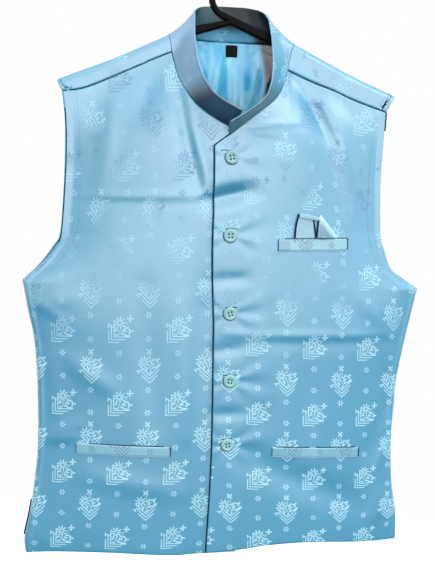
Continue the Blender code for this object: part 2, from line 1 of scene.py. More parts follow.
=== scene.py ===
"""The looks of a band-collar waistcoat of light blue damask, buttoned up on a black hanger.

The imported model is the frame. X runs to the wearer's left, Y to the wearer's back and Z up, from
the inner top of the hanger's hook. Tables and sizes are in millimetres, as in the part's source,
and each refined surface is worked out from the same outline tables as the solid it stands for.
"""

import math

import bmesh
import bpy
import numpy as np
from mathutils import Matrix, Vector


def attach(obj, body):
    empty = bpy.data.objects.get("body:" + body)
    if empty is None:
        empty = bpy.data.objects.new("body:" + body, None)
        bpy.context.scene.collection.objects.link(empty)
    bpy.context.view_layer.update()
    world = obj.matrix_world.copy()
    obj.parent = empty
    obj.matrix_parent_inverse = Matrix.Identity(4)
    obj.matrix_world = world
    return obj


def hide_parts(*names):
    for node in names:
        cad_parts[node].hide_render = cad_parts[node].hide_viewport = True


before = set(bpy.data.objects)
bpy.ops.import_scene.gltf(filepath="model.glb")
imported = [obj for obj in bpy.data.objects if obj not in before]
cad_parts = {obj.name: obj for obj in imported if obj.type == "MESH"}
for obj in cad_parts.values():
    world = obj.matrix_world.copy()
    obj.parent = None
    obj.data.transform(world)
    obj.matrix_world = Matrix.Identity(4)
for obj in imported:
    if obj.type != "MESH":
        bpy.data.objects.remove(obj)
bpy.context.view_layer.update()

MM = 0.001
SIDES = ("right", "left")

# Walls and gaps.
CLOTH_WALL = 1.8
COLLAR_WALL = 2.2
LINING_WALL = 1.0
WELT_WALL = 1.2
SQUARE_WALL = 1.8
LABEL_WALL = 0.6
SEAM_GAP = 0.3
LAYER_GAP = 0.5

# Depth of the hanging body.
EDGE_DEPTH = 9.0
FOLD_STRAIGHT = 1.5
FRONT_DEPTH = 52.0
BACK_DEPTH = 32.0
DRAPE_LENGTH = 50.0
DRAPE_POWER = 1.6
UNDERLAP_DROP = 3.6
UNDERLAP_START = -62.0
UNDERLAP_FULL = -30.0
ARMHOLE_OPENS_OVER = 70.0
NECK_HALF = 81.0
ARMPIT_EASE = (-60, -45, -30, -15, 0, 15, 30, 45, 60)
SIDE_BLEND = 0.3
FOLD_FADE_BELOW = 30.0
FOLD_FADE_SLOPE = 3.0
FOLD_AT_SIDE = 0.25
SPRING_BLEND_START = 0.6
STRIP_ABOVE_SEAM = 3.0

# Outline of each front, half widths and heights, wearer's right then wearer's left.
SIDE_SEAM = {
    "right": [  # half_width, height, from hem to armpit
        (266, -803), (267, -780), (259, -739), (252, -691), (248, -641),
        (248, -564), (252, -499), (260, -457), (266.5, -419)],
    "left": [
        (268, -800), (265, -758), (256, -714), (250, -650), (250, -592),
        (251, -555), (258, -503), (266, -455), (271, -426)],
}
ARMHOLE = {
    "right": [  # half_width, height, from armpit to the arm end of the shoulder seam
        (266.5, -419), (243, -398), (224, -374), (216, -357), (211.5, -301),
        (209.5, -255), (210, -211), (214, -177)],
    "left": [
        (271, -426), (250.5, -413), (231, -399), (218, -373), (210.5, -348),
        (205.5, -281), (205.5, -236), (206, -189)],
}
FRONT_EDGE = {
    "right": [(22, -790), (22, -640), (21, -430)],  # x, height, hem to armpit level
    "left": [(-19, -789), (-16, -642), (-19, -470)],
}
UPPER_EDGE = {
    "right": [(21, -430), (20, -330), (18, -228)],  # x, height, armpit level to front corner
    "left": [(-19, -470), (-23.5, -380), (-24, -300), (-25.5, -237)],
}
LAP_TOP = {
    "right": [(18, -228), (0, -216)],  # x, height, front corner to the collar's end
    "left": [(-25.5, -237), (-7, -223)],
}
NECKLINE = {
    "right": [  # x, height, collar's end to the neck end of the shoulder seam
        (0, -216), (-18, -208), (-34, -198.5), (-51, -185), (-66, -164), (-73, -147), (-79, -124)],
    "left": [
        (-7, -223), (14, -206), (37, -189), (54, -175), (65, -158), (71, -141)],
}
HEM = {
    "right": [(-266, -803), (-220, -796), (-147, -791.5), (-71, -792), (22, -790)],
    "left": [(268, -800), (220, -796), (132, -784), (71, -782), (37, -785), (-19, -789)],
}
SHOULDER_SEAM = {
    "right": [(-214, -177), (-184, -171), (-130, -147), (-101, -133.5), (-79, -124)],
    "left": [(206, -189), (163, -175.5), (134, -164), (105, -154.5), (71, -141)],
}
BACK_ARMHOLE = {
    "right": [
        (266.5, -419), (245, -398), (227, -374), (218.5, -357), (214, -301),
        (212.5, -255), (212.5, -211), (216, -176)],
    "left": [
        (271, -426), (250.5, -413), (231, -399), (218, -373), (210.5, -348),
        (206, -281), (208, -236), (213, -180)],
}
RIDGE = {
    "right": [(-221.5, -163.5), (-214, -159.5), (-153.5, -135), (-101, -111), (-83, -102)],
    "left": [(218.5, -167.5), (210, -163.5), (170, -148), (125, -128), (80, -106.5)],
}
BACK_HEM = [(-266, -803), (-140, -799), (0, -797), (140, -797), (268, -800)]
BACK_NECKLINE = [(-76, -105), (-58, -106), (-30, -106.5), (0, -107), (30, -107), (56, -108), (74, -109)]
SPRING_DROP = 9.0
NECK_SPRING_X = {"right": -76.0, "left": 74.0}
NECK_SPRING_Z = {"right": -105.0, "left": -109.0}

# Folds: x and height of both ends, half width of the fold and how far it stands out. FRONT_FOLDS
# and BACK_FOLDS are the part's own large folds, the small ones stand in tables of their own.
FRONT_FOLDS = [
    (-92, -142, -122, -200, 13, -3.0),
    (-70, -196, -52, -280, 12, -2.2),
    (-38, -270, -40, -420, 14, 1.6),
    (90, -158, 146, -305, 17, -4.5),
    (118, -180, 168, -285, 12, 2.0),
    (-262, -452, -205, -440, 12, 2.0),
    (-250, -636, -196, -612, 11, 1.8),
    (246, -560, 214, -665, 12, -2.2),
    (238, -690, 226, -770, 12, 2.0),
]
SMALL_FRONT_FOLDS = [
    (-205, -307, -36, -300, 6, 0.9),
    (-200, -316, -40, -309, 8, -0.4),
    (-4, -479, 241, -489, 6, 1.1),
    (0, -490, 236, -500, 9, -0.6),
    (-247, -639, -198, -629, 7, 1.8),
    (-256, -445, -217, -466, 8, 2.0),
    (254, -631, 224, -688, 7, 2.0),
    (260, -707, 238, -751, 8, 1.8),
    (9, -213, 83, -205, 5, 1.4),
    (20, -226, 70, -232, 6, -1.4),
    (-150, -180, -168, -300, 12, 1.6),
    (-78, -146, -43, -288, 8, -4.2),
    (-66, -190, -31, -290, 10, 3.2),
    (-36, -256, -31, -434, 6, 1.4),
    (-110, -420, -96, -600, 18, -1.8),
    (-60, -440, -52, -620, 14, 1.4),
    (104, -520, 120, -640, 18, -1.8),
    (40, -380, 52, -560, 16, 1.6),
    (-210, -520, -150, -560, 14, 1.6),
    (170, -420, 214, -470, 12, 1.8),
    (86, -150, 139, -240, 10, -7.5),
    (120, -158, 186, -250, 10, 1.4),
    (-34, -307, 20, -293, 10, -6.5),
    (-26, -409, 22, -405, 8, -1.8),
    (-22, -503, 20, -499, 8, -1.4),
    (-20, -590, 22, -588, 8, -1.4),
    (30, -650, 204, -738, 20, -2.2),
    (216, -467, 234, -614, 9, -1.8),
    (-240, -470, -222, -600, 12, 1.4),
    (-190, -680, -60, -700, 16, 1.2),
]
BACK_FOLDS = [
    (-118, -170, -96, -330, 18, -3.0),
    (112, -165, 92, -320, 18, -3.4),
    (-70, -420, -84, -700, 20, 2.6),
    (60, -450, 78, -720, 22, 2.2),
    (-180, -520, -150, -640, 16, -2.4),
    (176, -500, 148, -650, 16, -2.2),
]
SMALL_BACK_FOLDS = [
    (-60, -130, -150, -230, 9, 1.9),
    (60, -132, 140, -225, 10, 2.0),
    (-190, -300, -90, -345, 8, 1.5),
    (180, -310, 70, -350, 8, 1.4),
    (-120, -480, 130, -486, 5, 1.4),
    (-30, -200, -20, -420, 14, -1.7),
    (30, -230, 26, -400, 12, 1.4),
    (-236, -560, -190, -680, 10, 2.0),
    (238, -590, 196, -700, 10, 1.9),
]
BUTTON_PULL_REACH = 34.0
BUTTON_PULL_HEIGHT = 0.55
BUTTON_DIMPLE = 0.7

# Collar stations, from the wearer's right end round the back to the left end.
COLLAR_TOP = [  # seam_x, seam_y, seam_z, top_x, top_y, top_z
    (0, -47, -216, 3, -73, -194),
    (-18, -46, -208, -9, -73, -188),
    (-34, -44, -198.5, -21, -71, -182),
    (-51, -38, -185, -34, -67, -172),
    (-66, -27, -164, -44, -56, -154),
    (-73, -18, -147, -50, -44, -135),
    (-79, -9, -124, -52.5, -22, -104),
    (-83, 0, -102, -51, 0, -76),
    (-76, 9, -105, -50, 12, -69),
    (-58, 18, -106, -41, 23, -65),
    (-30, 27, -106.5, -24, 30.5, -62.5),
    (0, 31, -107, -3, 33, -62),
    (30, 27, -107, 20, 30, -62.5),
    (56, 18, -108, 36, 20, -66),
    (74, 9, -109, 43, 10, -69),
    (80, 0, -106.5, 46, -4, -79),
    (76, -9, -124, 47.5, -20, -101),
    (71, -9, -141, 46.5, -42, -134),
    (65, -24, -158, 43, -55, -157),
    (54, -36, -175, 36, -66, -174),
    (37, -42, -189, 22.5, -74, -187),
    (14, -47, -206, 4, -79, -199),
    (-7, -50, -223, -11, -82, -208),
]

WELTS = {
    "welt_chest": {"front": "left", "x": (61, 160), "z": (-369.5, -370), "height": 16.0},
    "welt_hip_right": {"front": "right", "x": (-197, -71), "z": (-650.5, -649), "height": 14.5},
    "welt_hip_left": {"front": "left", "x": (66, 196), "z": (-651, -663), "height": 14.0},
}
SQUARE_FOLD = {"x": (82.5, 112.0), "top_x": (87.0, 107.5), "z": (-353.2, -321.0)}
SQUARE_POINT = [(114.5, -353.2), (117.2, -323.5), (143.0, -353.2)]
SQUARE_FLAP = [(88.0, -326.0), (88.4, -320.0), (117.0, -330.0), (116.5, -325.0)]
# Painted shade: dark cords along the folded part's two long edges and along the pointed part's edge beside
# it.
SQUARE_EDGE_SHADES = [
    [(87.4, -322), (84.2, -336), (83.4, -352.6)],
    [(107.0, -324), (109.8, -338), (112.6, -352.8)],
    [(116.6, -325), (115.0, -338), (113.8, -352.8)],
]
SQUARE_SIZE = (28, 30)
SQUARE_RIDGE = {"column": 0.42, "width": 0.16, "height": 1.6}
SQUARE_FLAP_LIFT = 0.4
SQUARE_FLAP_WIDTH = 6
# Where on the damask the welts and the three parts of the square are cut, in mm.
WELT_CUT = (20, 30)
SQUARE_CUTS = [(14, 8), (30, -6), (4, 20)]
BUTTONS = [(-3.5, -251), (-2, -350), (1.5, -452), (4.5, -543), (4.5, -632)]  # x, height
BUTTON_PROFILE = [  # radius, height of a half section, from the middle round the rim to the back
    (0.0, 2.5), (2.0, 2.45), (4.2, 2.4), (5.2, 2.65), (6.0, 3.05), (6.8, 3.1), (7.7, 2.7),
    (8.4, 2.1), (8.9, 1.3), (9.0, 0.8), (8.8, 0.3), (8.2, 0.0), (0.0, 0.0)]
BUTTON_HOLE_RADIUS = 1.15
BUTTON_HOLE_OFFSET = 2.9
BUTTON_SEAT = 0.6
BUTTON_SEGMENTS = 40
BUTTON_SLOPE_STEP = 6.0
DRILL_LENGTH = 8.0
DRILL_HEIGHT = 2.0
BUTTON_TURNS = [0.2, 0.05, 0.3, -0.1, 0.15]

LABEL_X = (-5.5, 9.5)
LABEL_TOP = -109.5
LABEL_DROP = 15.0
LABEL_INSIDE = 5.3
LINING_HEM_RISE = 28.0
LINING_SIDE_INSET = 14.0
LINING_SHOULDER_DROP = 24.0
LINING_DROP_STARTS = 15.0
LINING_SLACK = 3.5
LINING_FOLD = 1.25
LINING_TUCK = 1.2
LINING_TUCK_HEIGHT = -124.0
LINING_TUCK_WIDTH = 3.5
LINING_HELD_BY_LABEL = 14.0
COLLAR_COLUMNS = 220
COLLAR_CROWN = 0.9
COLLAR_HEIGHT = 40

# The damask: its two motifs stand in alternate rows of one repeat, the second turned by an
# eighth of a turn. Where a motif of the first kind stands on each front, and the steps from one
# repeat to the next; the rows close up a little towards the hem.
REPEAT = (78.0, 100.0)
LATTICE = {
    "right": {"x": (-223.2, 76.4, 3.2, -0.5), "z": (-270.2, 3.6, -108.5, 1.6)},
    "left": {"x": (31.4, 81.1, 4.9, -0.1), "z": (-291.9, -7.2, -103.2, 1.4)},
}

# Rows and columns of the fine grids.
SIDE_STEP = 8.0
EDGE_STEP = 14.0
LAP_STEP = 15.0
TOP_STEP = 21.0
SHOULDER_COLUMNS = 36
NECK_COLUMNS = 48
LIP_COLUMNS = 9


# Curves and surfaces.

def at(points, shares):
    """Points at the given shares of the length of a smooth curve through the points."""
    points = np.array(points, float)
    padded = np.vstack([2 * points[0] - points[1], points, 2 * points[-1] - points[-2]])
    t = np.linspace(0, 1, 20, endpoint=False)[:, None]
    spans = []
    for before, start, end, after in zip(padded, padded[1:], padded[2:], padded[3:]):
        bend = 2 * before - 5 * start + 4 * end - after
        twist = 3 * start - 3 * end + after - before
        spans.append(start + 0.5 * ((end - before) * t + bend * t ** 2 + twist * t ** 3))
    dense = np.vstack(spans + [points[-1:]])
    travelled = np.concatenate([[0], np.cumsum(np.linalg.norm(np.diff(dense, axis=0), axis=1))])
    wanted = np.asarray(shares) * travelled[-1]
    return np.stack([np.interp(wanted, travelled, column) for column in dense.T], axis=-1)


def along(parts, stops, steps):
    """Points at row numbers along paths laid end to end, each part between its two stops."""
    result = np.zeros((len(steps), 2))
    for part, start, end in zip(parts, stops, stops[1:]):
        chosen = (steps >= start) & (steps <= end)
        result[chosen] = at(part, (steps[chosen] - start) / (end - start))
    return result


def smoothstep(value):
    value = np.clip(value, 0.0, 1.0)
    return value * value * (3 - 2 * value)


def sign_of(side):
    return -1 if side == "right" else 1


def half_width(side, z, armhole):
    rows = SIDE_SEAM[side] + armhole[side][1:]
    return np.interp(z, [row[1] for row in rows], [row[0] for row in rows])


def fold_offset(folds, x, z):
    """How far the folds in a table move the cloth out at each point."""
    total = np.zeros_like(x)
    for x0, z0, x1, z1, width, height in folds:
        run = ((x - x0) * (x1 - x0) + (z - z0) * (z1 - z0)) / ((x1 - x0) ** 2 + (z1 - z0) ** 2)
        share = np.clip(run, 0.0, 1.0)
        away = np.hypot(x - x0 - share * (x1 - x0), z - z0 - share * (z1 - z0))
        total += height * np.exp(-(away / width) ** 2) * np.sin(np.pi * (0.15 + 0.7 * share))
    return total


def across_table(rows, x):
    return np.interp(x, [row[0] for row in rows], [row[1] for row in rows])


def seam_line_height(x):
    return across_table(SHOULDER_SEAM["right"] + SHOULDER_SEAM["left"][::-1], x)


def ridge_height(x):
    return across_table(RIDGE["right"] + RIDGE["left"][::-1], x)


def bulge(x, z, reach, line_z, armhole, folds):
    """How far the cloth stands out beyond the depth at its edges."""
    exact = np.where(x < 0, half_width("right", z, armhole), half_width("left", z, armhole))
    across = np.minimum(np.abs(x) / (exact - EDGE_DEPTH), 1.0)
    eased = sum(
        np.where(x < 0, half_width("right", z + shift, armhole), half_width("left", z + shift, armhole))
        for shift in ARMPIT_EASE) / len(ARMPIT_EASE)
    across_eased = np.minimum(np.abs(x) / (eased - EDGE_DEPTH), 1.0)
    inner = smoothstep((1 - across) / SIDE_BLEND)
    below = np.maximum(line_z - z, 0.0)
    inside = np.maximum(NECK_HALF - np.abs(x), 0.0)
    drape = 1 - np.exp(-(np.hypot(below, inside) / DRAPE_LENGTH) ** DRAPE_POWER)
    swell = (1 - inner * across_eased ** 2 - (1 - inner) * across ** 2) * drape
    calm = np.minimum(1.0, FOLD_FADE_SLOPE * (1 - across) + FOLD_AT_SIDE)
    calm = calm * np.minimum(1.0, below / FOLD_FADE_BELOW)
    return (reach - EDGE_DEPTH) * swell + calm * fold_offset(folds, x, z)


def button_pulls(x, z):
    """Small creases that run out from each button, and the dimple that its thread pulls in."""
    total = np.zeros_like(x)
    for number, (button_x, button_z) in enumerate(BUTTONS):
        away = np.hypot(x - button_x, z - button_z)
        angle = np.arctan2(z - button_z, x - button_x)
        ripple = np.cos(7 * angle + 1.3 * number) * np.cos(angle) ** 2
        ring = (away / 16) * np.exp(-(away / BUTTON_PULL_REACH) ** 2)
        total += BUTTON_PULL_HEIGHT * ring * ripple
        total -= BUTTON_DIMPLE * np.exp(-(away / 13) ** 2)
    return total


def front_y(x, z, side="left"):
    """Y of the front's outer face; the right front drops back where the left laps over it."""
    x = np.asarray(x, float)
    z = np.asarray(z, float)
    folds = FRONT_FOLDS + SMALL_FRONT_FOLDS
    y = -EDGE_DEPTH - bulge(x, z, FRONT_DEPTH, seam_line_height(x), ARMHOLE, folds)
    if side == "right":
        return y + UNDERLAP_DROP * smoothstep((x - UNDERLAP_START) / (UNDERLAP_FULL - UNDERLAP_START))
    return y - button_pulls(x, z)


def back_y(x, z, folds=None):
    folds = BACK_FOLDS + SMALL_BACK_FOLDS if folds is None else folds
    return EDGE_DEPTH + bulge(x, z, BACK_DEPTH, ridge_height(x) - SPRING_DROP, BACK_ARMHOLE, folds)


def side_fold(share, opened):
    """Inset from the outline and depth along the rounded side, flattened where it opens."""
    radius = EDGE_DEPTH - FOLD_STRAIGHT
    travelled = share * (FOLD_STRAIGHT + radius * math.pi / 2)
    angle = np.maximum(travelled - FOLD_STRAIGHT, 0) / radius
    inset = radius * (1 - np.cos(angle))
    depth = np.minimum(travelled, FOLD_STRAIGHT) + radius * np.sin(angle)
    depth = np.maximum(depth, SEAM_GAP / 2)
    inset = (1 - opened) * inset + opened * share * radius
    depth = (1 - opened) * depth + opened * EDGE_DEPTH
    return inset, depth


def opened_share(side, z):
    """0 on the side seam and 1 well up the armhole, where front and back part."""
    return smoothstep((z - SIDE_SEAM[side][-1][1]) / ARMHOLE_OPENS_OVER)


def patch(u, v, bottom, top, low, high):
    """Points of the Coons patch; u and v are grids, low and high hold one point for each row."""
    u, v = u[..., None], v[..., None]
    low, high = low[:, None, :], high[:, None, :]
    first_low, last_low = low[:1], low[-1:]
    first_high, last_high = high[:1], high[-1:]
    ruled = (1 - v) * bottom + v * top + (1 - u) * low + u * high
    at_bottom = (1 - v) * ((1 - u) * first_low + u * first_high)
    at_top = v * ((1 - u) * last_low + u * last_high)
    return ruled - at_bottom - at_top


def row_steps(edge=0.02):
    """Row numbers from hem to shoulder, closer together at both ends for the turned edge."""
    rows = [np.linspace(0, SIDE_STEP, 84)[:-1], np.linspace(SIDE_STEP, EDGE_STEP, 58)[:-1]]
    rows += [np.linspace(EDGE_STEP, LAP_STEP, 9)[:-1], np.linspace(LAP_STEP, TOP_STEP, 60)]
    close = [edge, 2 * edge, TOP_STEP - 3 * edge, TOP_STEP - 1.5 * edge]
    return np.unique(np.concatenate(rows + [close]))


def front_grid(side):
    """Points of a front from hem to shoulder seam, each row from the side to the front edge."""
    steps = row_steps()
    sign = sign_of(side)
    outer = along([SIDE_SEAM[side], ARMHOLE[side]], [0, SIDE_STEP, TOP_STEP], steps)
    outer[:, 0] *= sign
    parts = [FRONT_EDGE[side], UPPER_EDGE[side], LAP_TOP[side], NECKLINE[side]]
    inner = along(parts, [0, SIDE_STEP, EDGE_STEP, LAP_STEP, TOP_STEP], steps)
    width = np.abs(inner[:, 0] - outer[:, 0])[:, None]
    radius = EDGE_DEPTH - FOLD_STRAIGHT
    shares = np.linspace(0, 1, 10)[None, :]
    opened = opened_share(side, outer[:, 1])[:, None]
    inset, depth = side_fold(shares, opened)
    folded = radius / width
    columns = np.concatenate([np.linspace(0, 1, 92)[1:-1], [0.9925, 0.9965, 1.0]])
    columns = np.unique(columns)[None, :]
    u = np.hstack([inset / width, folded + (1 - folded) * columns])
    v = np.repeat(steps[:, None] / TOP_STEP, u.shape[1], axis=1)
    flat = patch(u, v, at(HEM[side], u), at(SHOULDER_SEAM[side], u), outer, inner)
    x, z = flat[..., 0], flat[..., 1]
    count = shares.shape[1]
    x[:, :count] = outer[:, :1] - sign * inset
    y = front_y(x, z, side)
    y[:, :count] = -depth
    roll = turned_edge(np.abs(inner[:, :1] - x)) + turned_edge(z - z[:1]) + turned_edge(z[-1:] - z)
    return np.stack([x, y + roll, z], axis=-1)


def turned_edge(distance, reach=1.8, depth=0.8):
    """How far the cloth turns in near an edge where it is folded under."""
    return depth * np.clip(1 - np.abs(distance) / reach, 0, 1) ** 2


def back_top(side, shares):
    """The line behind the shoulder where the back starts to turn over the ridge."""
    ridge = at(RIDGE[side], shares)
    blend = smoothstep((shares - SPRING_BLEND_START) / (1 - SPRING_BLEND_START))
    x = (1 - blend) * ridge[:, 0] + blend * NECK_SPRING_X[side]
    z = (1 - blend) * (ridge[:, 1] - SPRING_DROP) + blend * NECK_SPRING_Z[side]
    x[0] = sign_of(side) * BACK_ARMHOLE[side][-1][0]
    z[0] = BACK_ARMHOLE[side][-1][1]
    return np.column_stack([x, z])


def back_body():
    """Points of the back from hem to neck, each row from the right side to the left."""
    shoulder = np.linspace(0, 1, SHOULDER_COLUMNS + 1)
    neck = at(BACK_NECKLINE, np.linspace(0, 1, NECK_COLUMNS + 1))
    top = np.vstack([back_top("right", shoulder)[:-1], neck, back_top("left", shoulder)[::-1][1:]])
    widths = (top[:, 0] - top[0, 0]) / (top[-1, 0] - top[0, 0])
    steps = row_steps()
    edges = {}
    for side in SIDES:
        edges[side] = along([SIDE_SEAM[side], BACK_ARMHOLE[side]], [0, SIDE_STEP, TOP_STEP], steps)
        edges[side][:, 0] *= sign_of(side)
    right, left = edges["right"], edges["left"]
    u = np.repeat(widths[None, :], len(steps), axis=0)
    v = np.repeat(steps[:, None] / TOP_STEP, len(widths), axis=1)
    flat = patch(u, v, at(BACK_HEM, u), top[None, :, :], right, left)
    middle = 0.5 * (left[:, :1] + right[:, :1])
    span = left[:, :1] - right[:, :1]
    x = middle + (flat[..., 0] - middle) * (1 - 2 * (EDGE_DEPTH - FOLD_STRAIGHT) / span)
    z = flat[..., 1]
    y = back_y(x, z)
    lips = []
    for side, edge in (("right", right), ("left", left)):
        shares = np.linspace(0, 1, LIP_COLUMNS + 1)[None, :-1]
        inset, depth = side_fold(shares, opened_share(side, edge[:, 1])[:, None])
        fold_lip_and_button_shadow = np.stack([edge[:, :1] - sign_of(side) * inset, depth, edge[:, 1:] + 0 * inset], axis=-1)
        lips.append(fold_lip_and_button_shadow)
    body = np.concatenate([lips[0], np.stack([x, y, z], axis=-1), lips[1][:, ::-1]], axis=1)
    return body, steps


def shoulder_strip(side, top_row):
    """Rows of the back from behind the shoulder, over its ridge, to the seam in front."""
    shares = (top_row[:, 0] - top_row[0, 0]) / (top_row[-1, 0] - top_row[0, 0])
    ridge = at(RIDGE[side], shares)
    seam = at(SHOULDER_SEAM[side], shares)
    rows = []
    for angle in np.linspace(0, np.pi, 25)[1:]:
        rise = math.sin(angle)
        if angle <= np.pi / 2 + 1e-6:
            x = top_row[:, 0] + (ridge[:, 0] - top_row[:, 0]) * rise
            z = top_row[:, 2] + (ridge[:, 1] - top_row[:, 2]) * rise
            y = top_row[:, 1] * math.cos(angle)
        else:
            front_z = np.maximum(ridge[:, 1] - SPRING_DROP, seam[:, 1] + STRIP_ABOVE_SEAM)
            x = seam[:, 0] + (ridge[:, 0] - seam[:, 0]) * (0.5 + 0.5 * rise)
            z = front_z + (ridge[:, 1] - front_z) * rise
            y = np.full_like(x, EDGE_DEPTH * math.cos(angle))
        rows.append(np.column_stack([x, y, z]))
    last = rows[-1]
    seam_row = np.column_stack([seam[:, 0], np.full(len(seam), -EDGE_DEPTH), seam[:, 1] + SEAM_GAP])
    for share in np.linspace(0, 1, 9)[1:]:
        row = last + (seam_row - last) * share
        distance = np.abs(row[:, 2] - seam_row[:, 2])
        row[:, 1] += turned_edge(distance)
        rows.append(row)
    return np.array(rows)


# Meshes.

def grid_mesh(work, uv_layer, points, uvs):
    """Adds one grid of quads to a mesh, with its metric cloth coordinates."""
    rows, columns = points.shape[:2]
    verts = [[work.verts.new(points[r, c] * MM) for c in range(columns)] for r in range(rows)]
    for r in range(rows - 1):
        for c in range(columns - 1):
            spots = ((r, c), (r, c + 1), (r + 1, c + 1), (r + 1, c))
            face = work.faces.new([verts[i][j] for i, j in spots])
            face.smooth = True
            for loop, (i, j) in zip(face.loops, spots):
                loop[uv_layer].uv = uvs[i, j] * MM


def finished(name, work, *materials):
    """Turns worked-out geometry into a piece of the scene."""
    mesh = bpy.data.meshes.new(name)
    work.to_mesh(mesh)
    work.free()
    for material in materials:
        mesh.materials.append(material)
    piece = bpy.data.objects.new(name, mesh)
    bpy.context.scene.collection.objects.link(piece)
    return piece


def cloth(name, strips, wall, outer, inner, outward):
    """A sheet with a wall: its outer face and rim in one finish, its inner face in another."""
    work = bmesh.new()
    uv_layer = work.loops.layers.uv.new("cloth")
    for points, uvs in strips:
        grid_mesh(work, uv_layer, points, uvs)
    bmesh.ops.remove_doubles(work, verts=work.verts, dist=0.01 * MM)
    bmesh.ops.recalc_face_normals(work, faces=work.faces)
    facing = sum((face.normal * face.calc_area() for face in work.faces), Vector())
    if facing.dot(Vector(outward)) < 0:
        bmesh.ops.reverse_faces(work, faces=work.faces)
    piece = finished(name, work, outer, inner)
    solid = piece.modifiers.new("wall", "SOLIDIFY")
    solid.thickness = wall * MM
    solid.offset = -1.0
    solid.material_offset = 1
    solid.material_offset_rim = 0
    return piece


def arc_lengths(points, start_column):
    """Distance along each row of cloth, nought at the start column."""
    steps = np.linalg.norm(np.diff(points, axis=1), axis=2)
    travelled = np.concatenate([np.zeros((len(points), 1)), np.cumsum(steps, axis=1)], axis=1)
    return travelled - travelled[:, start_column][:, None]


def lattice_uv(side, points):
    """Cloth coordinates in which the damask repeats, fitted to where its motifs stand."""
    sign = sign_of(side)
    travelled = arc_lengths(points, -1)
    x = points[:, -1:, 0] + sign * np.abs(travelled)
    z = points[..., 2]
    across, down = LATTICE[side]["x"], LATTICE[side]["z"]
    i = (x - across[0]) / across[1]
    j = (z - down[0]) / down[2]
    for _ in range(4):
        i = (x - across[0] - across[2] * j - across[3] * j ** 2) / across[1]
        j = (z - down[0] - down[1] * i - down[3] * j ** 2) / down[2]
    return np.stack([i * REPEAT[0], -j * REPEAT[1]], axis=-1)


def climbed(points):
    """Distance up each column of cloth from the first row."""
    upward = np.linalg.norm(np.diff(points, axis=0), axis=2)
    return np.concatenate([np.zeros((1, points.shape[1])), np.cumsum(upward, axis=0)])


def plain_uv(points, shift=(0.0, 0.0)):
    """Cloth coordinates that simply follow the cloth along its rows and up its columns."""
    middle = points.shape[1] // 2
    across = arc_lengths(points, middle) + points[:, middle, 0][:, None]
    return np.stack([across + shift[0], climbed(points) + shift[1]], axis=-1)


# Materials.

def opaque(colour):
    return (*colour, 1.0) if isinstance(colour, tuple) else colour


